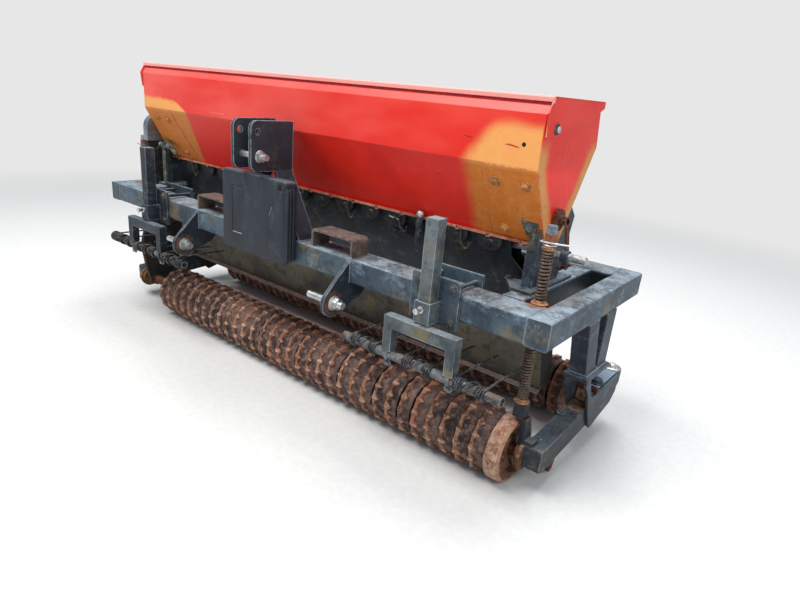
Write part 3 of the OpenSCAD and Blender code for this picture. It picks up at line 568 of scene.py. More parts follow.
# Iron of the rings
# Brown scale lies in the notches and on the drums, while the crowns are rubbed
# to orange and then to bare pale tips by the ground.
def ring_iron(name, axis_y, axis_z):
    material, s = paper(name)
    x, y, z = s.place()
    square = (y - axis_y) * (y - axis_y) + (z - axis_z) * (z - axis_z)
    radius = square.maths("SQRT", square)
    broad = s.grain(7, 4, 0.6)
    pits = s.grain(46, 5, 0.7)
    fine = s.grain(120, 5, 0.7)
    ring = s.grain(19, 2, 0.5, (1, 0.05, 0.05))
    drum = (broad * 0.5 + pits * 0.5).step(0.38, 0.6).mix(tone(42, 32, 32), tone(106, 84, 78))
    crown = (pits * 0.6 + fine * 0.4).step(0.4, 0.6).mix(tone(84, 54, 42), tone(164, 120, 96))
    orange = (ring * 0.55 + broad * 0.45).step(0.49, 0.58)
    crown = (orange * 0.5).mix(crown, tone(158, 94, 62))
    colour = radius.step(0.0905, 0.0955).mix(drum, crown)
    # Painted shade: below the drums, the hollows between the rings go near black.
    colour = (1 - radius.step(0.082, 0.0892)).mix(colour, tone(12, 9, 9))
    colour = (x.step(0.927, 0.931) * pits.step(0.3, 0.55)).mix(colour, tone(166, 124, 100))
    clay = (fine * 0.4 + pits * 0.6).step(0.5, 0.6)
    colour = (clay * 0.4).mix(colour, tone(160, 126, 104))
    rubbed = (s.edge(0.0035) * 0.8 | radius.step(0.0985, 0.1012) * 0.45) * radius.step(0.094, 0.0995)
    rubbed = rubbed * (fine * 0.5 + pits * 0.5).step(0.44, 0.58)
    colour = (rubbed * 0.95).mix(colour, tone(214, 192, 172))
    return finish(material, colour, 0.55 + 0.3 * fine, fine * 0.6 + pits * 1.5, 0.0016, 0.1)


# Ring rollers
# Cast rings threaded on an axle. Each has a raised crown whose right edge is
# notched all round, then a smooth drum, and no two rings stand alike.
def ring_roller(name, body, node, seed, plain_end):
    random.seed(seed)
    low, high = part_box(node)
    axis_y, axis_z = (low.y + high.y) / 2, (low.z + high.z) / 2
    outer, drum, notches, steps = (high.z - low.z) / 2, 0.0895, 15, 11
    pitch, crown, gap, deep, half_notch = 0.0523, 0.0240, 0.0038, 0.0140, 0.42
    hollow = drum - 0.018
    count = round((high.x - low.x + gap) / pitch)
    shape = Shape()
    for ring in range(count):
        left = low.x + ring * pitch
        plain = plain_end and ring == count - 1
        phase = random.uniform(0, 1)
        shade = random.uniform(0.0, 0.0009)
        wide = crown + random.uniform(0.0005, 0.0035)
        space = gap if random.random() < 0.62 else gap + 0.0065
        turns = notches * steps
        rows = []
        for k in range(turns):
            angle = 2 * math.pi * k / turns
            back, over = math.cos(angle), math.sin(angle)
            across = (k / steps + phase) % 1 - 0.5
            notched = abs(across) <= half_notch and not plain
            cut = deep * math.sqrt(1 - (across / half_notch) ** 2) if notched else 0.0
            rough = noise.noise(Vector((ring * 3.1, back * 6, over * 6)))
            chip = noise.noise(Vector((ring * 5.3, back * 17, over * 17)))
            edge = wide - cut * (1 + 0.12 * chip)
            crest = outer - shade - 0.0005 + 0.0005 * rough - 0.0050 * cut / deep
            if plain:
                edge, crest = pitch - gap - 0.006, outer - 0.0006
            tip = crest - 0.0012 - 0.0012 * abs(chip)
            profile = [
                (0.0, hollow), (0.0004, drum + 0.001), (0.0016, tip), (0.004, crest - 0.0004 * abs(chip)),
                (max(edge * 0.55, 0.005), crest), (max(edge - 0.0016, 0.0062), crest - 0.0003),
                (edge, tip - 0.0006), (edge + 0.0012, drum + 0.0012),
                (max(wide, edge) + 0.006, drum - 0.0004 + 0.0003 * rough),
                (pitch - space - 0.002, drum - 0.0003), (pitch - space, drum - 0.0016),
                (pitch - space, hollow), (pitch, hollow)]
            if plain:
                profile = profile[:7] + [
                    (edge + 0.003, crest - 0.003), (pitch - gap, crest - 0.004),
                    (pitch - gap, crest - 0.011), (pitch - 0.03, crest - 0.013),
                    (pitch - 0.036, 0.03), (pitch - 0.036, 0.019)]
            rows.append([(left + d, axis_y + r * back, axis_z + r * over) for d, r in profile])
        start, n = len(shape.points), len(rows[0])
        shape.points += [p for row in rows for p in row]
        for k in range(turns):
            for j in range(n - 1):
                a, b = start + k * n + j, start + (k + 1) % turns * n + j
                shape.faces.append((a, b, b + 1, a + 1))
    end_face = [(-0.006, drum - 0.004), (0, drum - 0.006), (0, 0.02)]
    for x, turn in ((low.x, -1), (high.x - (0.033 if plain_end else 0.003), 1)):
        shape.turned((x, axis_y, axis_z), (turn, 0, 0), end_face, 48)
    shape.piece(name, body, ring_iron(name + "_iron", axis_y, axis_z), node)


ring_roller("rings_front", "roller_front", "roller_front", 3, True)
ring_roller("rings_rear", "roller_rear", "roller_rear", 8, False)


# Open end of the front roller
# The last ring is dished, so its hub, bearing collar and four spokes show.
hub = Shape()
low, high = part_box("roller_front")
hub_at = Vector((high.x - 0.033, (low.y + high.y) / 2, (low.z + high.z) / 2))
hub.turned(hub_at, (1, 0, 0), [(0, 0.04), (0.016, 0.036), (0.018, 0.034), (0.018, 0.021), (0, 0.021)], 32)
for k in range(4):
    angle = 0.5 + k * math.pi / 2
    out = Vector((0, math.cos(angle), math.sin(angle)))
    half = Vector((0, -math.sin(angle), math.cos(angle))) * 0.006
    near, away = hub_at + out * 0.03, hub_at + out * 0.086
    hub.slab([near - half, away - half, away + half, near + half], (0.014, 0, 0))
hub.piece("hub_front", "roller_front", iron_rust, bevel=0.001)


# Pressure springs
# Two coil springs on each rod, the upper one open-wound and the lower one
# finer, between rusty flanged washers. The rod stands in a foot on the arm.
def helix(base, height, radius, turns, sides=20):
    """A coil round a vertical line, with its end turns closed up."""
    path = []
    for k in range(int(turns * sides) + 1):
        part = k / (turns * sides)
        rise = height * (part - 0.018 * math.sin(2 * math.pi * part))
        angle = 2 * math.pi * k / sides
        path.append(base + Vector((radius * math.cos(angle), radius * math.sin(angle), rise)))
    return path


coils, flanges, rods, feet = Shape(), Shape(), Shape(), Shape()
bar = [(-0.330, 0.003), (-0.330, 0.008), (0.160, 0.008), (0.160, 0.0153),
       (0.189, 0.0153), (0.190, 0.013), (0.206, 0.013), (0.208, 0.011)]
lug = ((0.984, -0.333), (1.000, -0.333), (1.004, -0.392), (1.030, -0.392),
       (1.030, -0.4037), (1.0065, -0.4037), (1.0065, -0.412), (0.984, -0.412))
for side in (-1, 1):
    rod = at(side * rod_x, rod_back, 0)
    for low_z, high_z, turns, wire in ((0.0125, 0.147, 15, 0.0031), (-0.276, -0.086, 24, 0.0027)):
        coils.tube(helix(rod + Vector((0, 0, low_z)), high_z - low_z, 0.0155 - wire, turns), wire, 8)
    for z, up in ((0.0004, 1), (-0.2876, 1), (-0.0754, -1), (0.1556, -1)):
        wide = 0.0225 if up > 0 else 0.0185
        flange = [(0, wide - 0.001), (0.003, wide), (0.005, wide - 0.002), (0.0055, 0.0165),
                  (0.010, 0.0158), (0.011, 0.0135), (0.011, 0.0085), (0, 0.0085)]
        flanges.turned(rod + Vector((0, 0, z)), (0, 0, up), flange, 32)
    rods.turned(rod, (0, 0, 1), bar, 24)
    feet.block(at(side * rod_x - 0.0195, 0.1026, -0.0745), at(side * rod_x + 0.0195, 0.1335, -0.0010))
    feet.block(at(side * 0.972 - 0.017, 0.099, -0.333), at(side * 0.972 + 0.017, 0.131, -0.2885))
    feet.panel(0.099, lug, 0.034, side)
coils.piece("spring_helices", "frame", spring_rust, "spring_coils")
flanges.piece("spring_washers", "frame", washer_rust)
rods.piece("spring_rod_bars", "frame", rod_steel, "spring_rods")
feet.piece("spring_feet", "frame", paint_dark, bevel=0.002)


# Spring tines
# Double-coil tines on each tine pipe: two wound groups joined by a raised
# loop, whose free wires trail rearward and bend down at their ends.
tine_middles = {"left": -0.672, "right": 0.725}
tine_places = (-0.187, 0.008, 0.176)
pipe_back, pipe_over = -0.0605, -0.213


def tine_set(side_name, middle):
    shape = Shape()
    wire, pipe = 0.0032, 0.0135
    centre = at(0, pipe_back, pipe_over)
    coil = pipe + 0.0003 + wire
    turns, steps = 3.25, 20
    for place in tine_places:
        x = middle + place
        loop = []
        for k in range(13):
            angle = math.pi * (0.08 + 0.84 * k / 12) - 0.5
            out = coil + 0.007 * math.sin(math.pi * k / 12)
            across = x - 0.022 + 0.044 * k / 12
            loop.append((across, centre.y - out * math.cos(angle), centre.z + out * math.sin(angle)))
        shape.tube(loop, wire * 0.9, 8)
        for side in (-1, 1):
            path = []
            for k in range(int(turns * steps) + 1):
                angle = 2 * math.pi * k / steps
                across = x + side * (0.0215 + 0.0245 * k / (turns * steps))
                y, z = centre.y - coil * math.cos(angle), centre.z + coil * math.sin(angle)
                path.append(Vector((across, y, z)))
            end = path[-1]
            for k in range(1, 9):
                part = k / 8
                z = centre.z + coil * 0.9 + 0.002 - 0.006 * part ** 2
                path.append(Vector((end.x - side * 0.004 * part, centre.y + 0.014 + 0.2 * part, z)))
            shape.tube(path, wire, 8)
    node = "tines_" + side_name
    shape.piece("tine_wires_" + side_name, node, black_steel, node)


for name, middle in tine_middles.items():
    tine_set(name, middle)


# Document box
# A moulded box bolted to the beam below the mast: soft corners, a lid that laps
# over its right side with three ribs, and a shallow upright panel in its front,
# outlined in painted shade and painted highlight.
def document_box():
    shape = Shape()
    low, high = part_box("document_box")
    middle, half_w, half_h = (low + high) / 2, (high.x - low.x) / 2, (high.z - low.z) / 2
    deep = high.y - low.y

    def outline(inset, y, radius):
        points = []
        for cx, cz, start in ((1, 1, 0), (-1, 1, 90), (-1, -1, 180), (1, -1, 270)):
            for k in range(7):
                a = math.radians(start + 15 * k)
                points.append((middle.x + cx * (half_w - inset - radius) + radius * math.cos(a), y,
                               middle.z + cz * (half_h - inset - radius) + radius * math.sin(a)))
        return points

    front = [(0.0, 0.004), (deep * 0.42, 0.002), (deep * 0.43, 0.0055), (deep * 0.47, 0.0055),
             (deep * 0.48, 0.0005), (deep * 0.8, 0.0), (deep * 0.9, 0.0015), (deep * 0.96, 0.0048),
             (deep, 0.0105)]
    shape.rings([outline(inset, high.y - d, 0.016 + inset * 0.6) for d, inset in front])
    proud, tucked = high.x + 0.0012, high.x - 0.0028
    rib = ((tucked, low.z + 0.012), (proud, low.z + 0.018), (proud, high.z - 0.034), (tucked, high.z - 0.026))
    for out in (0.010, 0.022, 0.034):
        shape.tube([(x, low.y + out, z) for x, z in rib], 0.0044, 8)
    shape.piece("box_moulding", "frame", plastic, "document_box", 0.0008)
    # Painted shade: dark lines along the panel's left side and top, and a dark notch at the box's upper right
    # corner.
    panel_groove_shade, lights = Shape(), Shape()
    left, right, base, crest = low.x + 0.060, low.x + 0.112, low.z + 0.062, low.z + 0.222
    y = low.y + 0.0002
    panel_groove_shade.tube([(left, y, base), (left, y, crest), (right, y, crest)], 0.0011, 6)
    # Painted highlights: pale lines along the panel's bottom edge and down the box's right front edge, beside
    # a pale scuff.
    lights.tube([(left, y, base), (right, y, base)], 0.0012, 6)
    edge = high.x - 0.012
    lights.tube([(edge, low.y + 0.0012, low.z + 0.02), (edge, low.y + 0.0012, high.z - 0.034)], 0.0010, 6)
    scuff = ((0.075, 0.118), (0.062, 0.088))
    lights.tube([(high.x - a, low.y - 0.0002, high.z - b) for a, b in scuff], 0.0008, 6)
    lights.piece("box_painted_highlights", "frame", pale_weld_and_highlight)
    notch = ((0.036, 0.030), (0.012, 0.030), (0.018, 0.012), (0.032, 0.012))
    panel_groove_shade.slab([(high.x - a, low.y - 0.0001, high.z - b) for a, b in notch], (0, 0.006, 0))
    panel_groove_shade.piece("box_painted_shade", "frame", shadow_black)


document_box()


# Hitch fittings
# Bolts and pins of the mast and lower lugs, with threaded ends, worn washers
# and the beads that weld the plates to the beam.
random.seed(31)
bright, joints, seams = Shape(), Shape(), Shape()
mast_corner = ((0.160, 0.004), (0.173, 0.004), (0.173, 0.072))
for x, turn in ((0.0502, 1), (-0.0502, -1)):
    bright.bolt(at(x, -0.060, 0.256), (turn, 0, 0), 0.0125, True, 0.012 if turn > 0 else 0)
for side in (-1, 1):
    x = side * 0.397
    bright.bolt(at(x + 0.0063, link_back, link_over), (1, 0, 0), 0.0148, True, 0.016)
    bright.washer(at(x - 0.0063, link_back, link_over), (-1, 0, 0), 0.021, 0.004)
    for edge in (-0.0064, 0.0064):
        joints.bead(x + edge, ((0.0, -0.006), (-0.0005, -0.074)), 0.003)
    joints.weld([at(side * out, back, 0.001) for out, back in mast_corner], 0.0032)
    for back in (0.006, 0.077):
        for x in (0.228, 0.400):
            joints.weld([at(side * x, back, 0.0012), at(side * (x + 0.001), back + 0.0005, 0.0012)], 0.003)
        for x in (0.226, 0.395):
            joints.weld([at(side * x, back, 0.001), at(side * (x + 0.008), back, 0.001)], 0.0026)
bright.piece("hitch_bolts", "frame", zinc)


# Frame joints
# The beams butt against the side beams, so a ground-down bead runs over the top
# and down the front of each corner, and beads run round the rails and legs.
for side in (-1, 1):
    seam = side * 0.9948
    for back, depth in ((0.0004, 0.1014), (0.5724, 0.1072)):
        joints.block(at(seam - 0.0068, back, -0.0072), at(seam + 0.0068, back + depth, 0.0003))
    seams.bead(seam, ((0.0004, -0.070), (0.0004, -0.003), (0.003, 0.0004), (0.098, 0.0004)), 0.0016)
    seams.bead(seam, ((0.576, 0.0004), (0.676, 0.0004), (0.6796, -0.004), (0.6796, -0.070)), 0.0016)
    joints.bead(seam, ((0.1024, -0.004), (0.1024, -0.07)), 0.0024)
    for back in (0.1022, 0.5718):
        joints.weld([at(side * 0.870, back, 0.0006), at(side * 0.926, back, 0.0006)], 0.0028)
    for x in (1.0585, 1.0085):
        joints.bead(side * x, ((0.276, -0.0755), (0.351, -0.0755)), 0.003)
    for back in (0.4155, 0.2755):
        joints.weld([at(side * 1.008, back, -0.0755), at(side * 1.060, back, -0.0755)], 0.0035)
    foot_run = ((0.329, -0.2545), (0.404, -0.2545), (0.420, -0.2545), (0.491, -0.2545))
    joints.bead(side * 1.062, foot_run, 0.0034)
    for back in (0.4155, 0.329):
        joints.weld([at(side * 1.008, back, -0.250), at(side * 1.060, back, -0.250)], 0.0034)
joints.piece("frame_welds", "frame", paint_weld)
seams.piece("frame_seams", "frame", paint_weld)


# Legs and rear arms
# Two tubes stand on a foot plate that carries the rocker between two plates,
# the outer one cut low behind its neck, with the rear arm's flat top beyond.
slanted = ((0.276, -0.0752), (0.351, -0.0752), (0.404, -0.255), (0.329, -0.255))
upright = ((0.416, -0.0752), (0.491, -0.0752), (0.491, -0.255), (0.416, -0.255))
foot = ((0.316, -0.2552), (0.497, -0.2552), (0.497, -0.269), (0.316, -0.269))
neck = ((0.322, -0.2688), (0.323, -0.283), (0.350, -0.318), (0.420, -0.455), (0.438, -0.470))
inner = neck + ((0.525, -0.447), (0.600, -0.430), (0.660, -0.372), (0.497, -0.2688))
outer = neck + ((0.500, -0.456), (0.600, -0.440), (0.640, -0.410), (0.640, -0.350), (0.412, -0.350),
                (0.384, -0.330), (0.352, -0.2688))
rear_arm = ((0.436, -0.345), (0.692, -0.345), (0.700, -0.352), (0.700, -0.398), (0.692, -0.408),
            (0.620, -0.442), (0.570, -0.446), (0.436, -0.446))
for side, name in ((-1, "left"), (1, "right")):
    leg, arm = Shape(), Shape()
    for x, outline, thick in (
            (1.008, slanted, 0.052), (1.008, upright, 0.052), (0.9957, foot, 0.0766),
            (0.9957, inner, 0.010), (1.0623, outer, 0.0098)):
        leg.plate(side * x, outline, side * thick)
    leg.piece("leg_plates_" + name, "frame", paint_leg, "leg_" + name, 0.0022)
    arm.plate(side * 1.0062, rear_arm, side * 0.0557)
    arm.piece("rear_arm_" + name, "frame", paint_arm, "arm_rear_" + name, 0.004)


# Arm and rocker fittings
# The rear arm has a domed stop and a bright nut on its washer, the front arm two
# bolts and the bead round its spring lug, and worn scrapers hang below both.
random.seed(37)
nuts, arm_welds, stops, domes, scrapers = Shape(), Shape(), Shape(), Shape(), Shape()
dome = [(0, 0.0225), (0.004, 0.0225), (0.005, 0.0195), (0.012, 0.0175), (0.0175, 0.0120), (0.019, 0.003)]
front_scraper = ((0.150, -0.466), (0.252, -0.466), (0.250, -0.506), (0.236, -0.534), (0.219, -0.538),
                 (0.204, -0.516), (0.188, -0.500), (0.174, -0.514), (0.158, -0.508))
rear_scraper = ((0.612, -0.436), (0.684, -0.400), (0.688, -0.448), (0.674, -0.482), (0.656, -0.490),
                (0.636, -0.470), (0.616, -0.462))
for side in (-1, 1):
    nuts.bolt(at(side * 0.9955, 0.610, -0.447), (-side, 0, 0), 0.008)
    stops.bolt(at(side * 1.015, 0.318, -0.3875), (0, -0.07, 1), 0.0095)
    stops.bolt(at(side * 1.048, 0.340, -0.3890), (0, -0.07, 1), 0.0085)
    heel = at(side * 1.037, 0.668, -0.3451)
    nuts.turned(heel, (0, 0, 1), [(0, 0.0285), (0.004, 0.0285), (0.005, 0.0270), (0.005, 0.009)], 32)
    nuts.bolt(heel + Vector((0, 0, 0.0050)), (0, 0, 1), 0.0110)
    domes.turned(at(side * 1.042, 0.512, -0.3451), (0, 0, 1), dome, 26)
    scrapers.plate(side * 1.028, front_scraper, side * 0.020)
    scrapers.plate(side * 1.024, rear_scraper, side * 0.020)
    bow = []
    for k in range(15):
        angle = math.pi * k / 14
        bow.append(at(side * (1.018 + 0.012 * math.cos(angle)), 0.150 + 0.015 * math.sin(angle), -0.4035))
    for start, end in zip(bow, bow[1:]):
        arm_welds.weld([start, end], 0.0024)
    arm_welds.weld([at(side * 1.006, 0.1345, -0.4030), at(side * 1.030, 0.1345, -0.4030)], 0.0026)
nuts.piece("arm_bolts", "frame", zinc)
arm_welds.piece("arm_welds", "frame", pale_weld_and_highlight)
stops.piece("arm_stops", "frame", paint_arm)
domes.piece("arm_domes", "frame", paint_dark)
scrapers.piece("arm_scrapers", "frame", deep_rust, bevel=0.004)


# Tine clamps
# Each post is held by a sleeve with a set bolt and by four bolts through the
# plates before and behind the beam, their ends standing out to the rear.
random.seed(41)
dark_bolts, set_bolts = Shape(), Shape()
lock_nut = [(0, 0.010), (0.001, 0.0105), (0.008, 0.0105), (0.009, 0.009)]
for middle in tine_middles.values():
    for dx in (-0.058, 0.058):
        for over in (0.012, -0.087):
            dark_bolts.bolt(at(middle + dx, -0.0100, over), (0, -1, 0), 0.0095)
            dark_bolts.bolt(at(middle + dx, 0.1120, over), (0, 1, 0), 0.0095, True, 0.007)
    set_bolts.turned(at(middle, -0.0622, -0.048), (0, -1, 0), lock_nut, 6, 0.3)
    set_bolts.bolt(at(middle, -0.0840, -0.048), (0, -1, 0), 0.0088, False)
    for out in (-0.0255, 0.0255):
        dark_bolts.bead(middle + out, ((-0.0102, -0.086), (-0.0102, -0.030)), 0.0024)
    dark_bolts.bead(middle - 0.0195, ((-0.0565, -0.0935), (-0.046, -0.0935)), 0.002)
dark_bolts.piece("clamp_bolts", "frame", dark_steel)
set_bolts.piece("set_bolts", "frame", zinc)


# Tine pipe fittings
# A bolt clamps the pipe under each bracket leg. The left pipe also wears black
# rubber bands and ribbed end bushes beside its tines.
random.seed(43)
for name, middle in tine_middles.items():
    clips = Shape()
    for out in (-0.0995, 0.1115):
        clips.tube([at(middle + out, pipe_back, -0.2265), at(middle + out, -0.0640, -0.2420)], 0.0050, 8)
        clips.bolt(at(middle + out, -0.0620, -0.2385), (0.15, -0.9, -0.4), 0.0080)
    clips.piece("tine_clips_" + name, "tines_" + name, dull_zinc)

bands = Shape()
half_band = [(0.0045, 0.0214), (0.006, 0.0200), (0.006, 0.0138)]
band = [(-d, r) for d, r in reversed(half_band)] + half_band
for place in tine_places:
    for off in (-0.058, 0.0, 0.058):
        bands.turned(at(tine_middles["left"] + place + off, pipe_back, pipe_over), (1, 0, 0), band, 26)
ribs = [(-0.020 + 0.004 * k, 0.0212 if k % 2 else 0.0178) for k in range(11)]
bush = [(-0.020, 0.0139)] + ribs + [(0.020, 0.0139)]
for x in (-0.921, -0.424):
    bands.turned(at(x, pipe_back, pipe_over), (1, 0, 0), bush, 26)
bands.piece("tine_bands_left", "tines_left", rubber)


# Hopper repairs
# The lower ends are patched with plates bolted through wide washers, welded in
# along their top and inner edges, and left spattered under the primer.
def on_slope(x, over, out=0.0):
    """A place on the hopper's lower front face, out from it by a little."""
    return at(x, 0.097 + (0.334 - over) * 0.5619 - 0.8718 * out, over - 0.4898 * out)


outward = (0, -0.8718, -0.4898)
random.seed(53)
patch_bolts, spatter, hole_shade_and_crease_mark, scars = Shape(), Shape(), Shape(), Shape()
for x, over in ((0.788, 0.288), (0.878, 0.288), (0.796, 0.156), (-0.847, 0.297),
                (-0.770, 0.292), (-0.754, 0.1625), (-0.852, 0.170)):
    patch_bolts.bolt(on_slope(x, over, 0.0024), outward, 0.0098)
runs = (
    (on_slope(0.757, 0.330, 0.002), on_slope(0.7595, 0.140, 0.002)),
    (on_slope(0.757, 0.3325, 0.0012), on_slope(0.911, 0.3325, 0.0012)),
    (on_slope(0.9125, 0.330, 0.0015), on_slope(0.9125, 0.190, 0.0015)),
    (on_slope(-0.731, 0.330, 0.002), on_slope(-0.694, 0.140, 0.002)),
    (on_slope(-0.911, 0.3325, 0.0012), on_slope(-0.731, 0.3325, 0.0012)))
for first, last in runs:
    for k in range(40):
        start = first.lerp(last, (k + random.uniform(0, 0.3)) / 40)
        if random.random() < 0.8:
            end = start + (last - first) * random.uniform(0.008, 0.018)
            end.x += random.gauss(0, 0.0008)
            spatter.tube([start, end], random.uniform(0.0011, 0.0021), 6)
    for _ in range(26):
        place = first.lerp(last, random.random()) + Vector((random.gauss(0, 0.006), 0, 0))
        drop = random.uniform(0.0006, 0.0015)
        spatter.turned(place, outward, [(-0.001, drop * 1.2), (drop * 0.5, drop), (drop, drop * 0.4)], 6)
patch_bolts.piece("patch_bolts", "frame", primer_steel)
# Painted shade: a black disc stands for the dark inside of a hole, and a thin black sliver marks a crease.
hole_shade_and_crease_mark.turned(at(0.866, 0.0973, 0.390), (0, -1, 0), [(0, 0.0055), (0.0006, 0.0055)], 20)
hole_shade_and_crease_mark.panel(0.0966, ((0.692, 0.3925), (0.716, 0.3895), (0.716, 0.3905), (0.692, 0.3938)), 0.001)
scars.panel(0.0966, ((0.812, 0.3850), (0.856, 0.3800), (0.850, 0.3835), (0.826, 0.3880)), 0.001)
hole_shade_and_crease_mark.piece("hopper_hole_shade", "frame", shadow_black)
scars.piece("hopper_scar", "frame", scar_red)
spatter.piece("patch_welds", "frame", primer_weld)


# Hopper trim
# A folded hem under the front edge carries the metering housings' bolts, two dark
# red strips of painted shade close the gap under the lid's lip, and the lid turns
# on two bright bolts.
random.seed(59)
hem, hem_bolts, rim_gap_strip, lid_gap_strip = Shape(), Shape(), Shape(), Shape()
hem_half, strip_half = 0.9115, 0.9136
fold = ((0.2025, 0.1215), (0.2165, 0.1212), (0.2165, 0.1238), (0.2045, 0.1242), (0.2040, 0.1292),
        (0.2018, 0.1292))
hem.plate(-hem_half, fold, 2 * hem_half)
for k in range(17):
    x = -0.848 + 0.106 * k
    hem_bolts.bolt(at(x, 0.2018, 0.1256), (0, -1, 0), 0.0034, False)
    tab = ((x - 0.006, 0.1225), (x + 0.006, 0.1225), (x + 0.005, 0.1165), (x - 0.005, 0.1165))
    hem.panel(0.2030, tab, 0.002)
hem.piece("hopper_hem", "frame", hem_paint)
hem_bolts.piece("hem_bolts", "frame", dark_steel)
# Painted shade: dark red strips fill the gap under the lid's lip and stand for the lip's shadow there.
rim_gap_strip.block(at(-strip_half, 0.1150, 0.4790), at(strip_half, 0.1180, 0.4868))
rim_gap_strip.piece("rim_gap_shade", "frame", gap_shade_red)
lid_gap_strip.block(at(-strip_half, 0.1085, 0.4870), at(strip_half, 0.1125, 0.4935))
lid_gap_strip.piece("lid_gap_shade", "lid", gap_shade_red)
for side, name in ((-1, "left"), (1, "right")):
    pins, washers = Shape(), Shape()
    washers.washer(at(side * 0.9222, 0.147, 0.432), (side, 0, 0), 0.0145, 0.0018)
    head = [(0, 0.0088), (0.0045, 0.0088), (0.0056, 0.0074)]
    pins.turned(at(side * 0.9242, 0.147, 0.432), (side, 0, 0), head, 6, 0.4)
    pins.piece("lid_bolt_" + name, "frame", zinc)
    washers.piece("lid_washer_" + name, "lid", dark_steel)


# Metering units
# A row of black seed housings hangs under the hopper in front of the shield,
# every other one on a bent strap, with one shutter open, its opening a black
# slab of painted shade, and its slide showing.
random.seed(61)
housings, straps, open_shutter_shade, slide = Shape(), Shape(), Shape(), Shape()
bowl = ((-0.041, 0.100), (-0.030, 0.086), (-0.012, 0.079), (0.012, 0.079), (0.029, 0.087), (0.038, 0.103))
hook = ((0.018, 0.121), (0.019, 0.098), (0.024, 0.080), (0.033, 0.068), (0.043, 0.066), (0.050, 0.074),
        (0.051, 0.088))
flat = ((-0.0005, 0.1985, 0), (0.0018, 0.1985, 0.0006), (0.0018, 0.2125, 0.0006), (-0.0005, 0.2125, 0))
for k in range(14):
    x = -0.752 + 0.1154 * k + random.uniform(-0.006, 0.006)
    if abs(x - 0.49) < 0.03:
        x += 0.05
    drop = random.uniform(0.0, 0.006)
    rounded = [(x + a, over - drop) for a, over in bowl]
    housings.panel(0.206, [(x - 0.040, 0.1225)] + rounded + [(x + 0.036, 0.1225)], 0.011)
    housings.turned(at(x, 0.2065, 0.102 - drop), (0, -1, 0), [(0, 0.010), (0.004, 0.009), (0.005, 0.004)], 12)
    if k % 2 == 0:
        straps.rings([[at(x + a + out, back, over + rise) for out, back, rise in flat] for a, over in hook])
# Painted shade: a black slab stands for the dark inside of the open shutter.
open_shutter_shade.slab([at(0.372, 0.2155, 0.097), at(0.470, 0.2155, 0.082), at(0.476, 0.2240, 0.052),
              at(0.366, 0.2240, 0.066)], (0, 0.0012, 0.0004))
open_shutter_shade.piece("shutter_painted_shade", "frame", shadow_black)
housings.piece("metering_housings", "frame", housing_black, bevel=0.0015)
straps.piece("metering_straps", "frame", strap_steel)
slide.panel(0.2030, ((0.372, 0.108), (0.412, 0.103), (0.412, 0.0985), (0.374, 0.1030)), 0.0015)
slide.piece("shutter_tab", "frame", zinc)


# Feed lever
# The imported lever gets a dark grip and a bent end, and a bright domed knob
# stands in front of the hopper's edge.
lever, grip = Shape(), Shape()
knob = [(0, 0.0085), (0.004, 0.0115), (0.010, 0.0128), (0.016, 0.0115), (0.020, 0.0075), (0.0215, 0.002)]
lever.turned(at(0.506, 0.192, 0.128), (0.03, -0.02, 1), knob, 20)
lever.piece("lever_knob", "frame", zinc)
handle = [(0, 0.0065), (0.003, 0.0088), (0.020, 0.0096), (0.070, 0.0104), (0.086, 0.0098), (0.090, 0.007)]
grip.turned(at(0.503, 0.1925, 0.040), (0.03, -0.006, 1), handle, 18)
grip.tube([at(0.5025, 0.1935, 0.042), at(0.497, 0.203, 0.020), at(0.492, 0.2095, 0.038)], 0.0042, 10)
grip.piece("lever_grip", "frame", dark_steel)


# Hopper brackets
# Strips and V-shaped plates bolt the hopper to its foot plates, beside a rusty
# shaft bearing and crank. A bent strap crosses the left end, and a wire clip
# and washer end each spring rod.
random.seed(67)
shaft_back, shaft_over = 0.255, 0.196
strips, bracket_bolts, crank = Shape(), Shape(), Shape()
strip = ((0.882, 0.178), (0.897, 0.178), (0.900, 0.112), (0.880, 0.112))
vee = ((0.850, 0.196), (0.906, 0.203), (0.902, 0.178), (0.889, 0.158), (0.876, 0.152), (0.862, 0.170))
bearing = [(0, 0.022), (0.004, 0.0235), (0.008, 0.020), (0.009, 0.016), (0.022, 0.014),
           (0.024, 0.008), (0, 0.008)]
crank_arm = ((0.246, 0.206), (0.268, 0.200), (0.3225, 0.056), (0.3065, 0.050))
crank_pin = ((0.946, 0.315, 0.056), (0.930, 0.315, 0.056), (0.926, 0.300, 0.052))
shaft_nut = [(0, 0.0135), (0.008, 0.0135), (0.0095, 0.011)]
for side in (-1, 1):
    strips.panel(0.1785, strip, 0.004, side)
    strips.panel(0.1740, vee, 0.0045, side)
    strips.tube([at(side * 0.852, 0.172, 0.1975), at(side * 0.905, 0.172, 0.2045)], 0.0022, 8)
    bracket_bolts.bolt(at(side * 0.879, 0.1740, 0.1745), (0, -1, 0), 0.0075)
    for x, back in ((0.821, 0.217), (0.853, 0.390)):
        bracket_bolts.bolt(at(side * x, back, 0.0102), (0, 0, 1), 0.008)
    crank.turned(at(side * 0.9150, shaft_back, shaft_over), (side, 0, 0), bearing, 28)
    crank.plate(side * 0.944, crank_arm, side * 0.005)
    crank.tube([at(side * x, back, over) for x, back, over in crank_pin], 0.0048, 10)
    crank.turned(at(side * 0.9395, shaft_back, shaft_over), (side, 0, 0), shaft_nut, 6)
bent = ((-0.948, 0.146), (-0.868, 0.197), (-0.862, 0.197), (-0.790, 0.150), (-0.790, 0.145),
        (-0.865, 0.191), (-0.946, 0.140))
strips.panel(0.147, bent, 0.024)
for x, over in ((-0.892, 0.178), (-0.836, 0.1765)):
    bracket_bolts.bolt(at(x, 0.1465, over), (0, -1, 0), 0.0075)
strips.panel(0.147, ((-0.884, 0.182), (-0.862, 0.190), (-0.862, 0.012), (-0.884, 0.012)), 0.005)
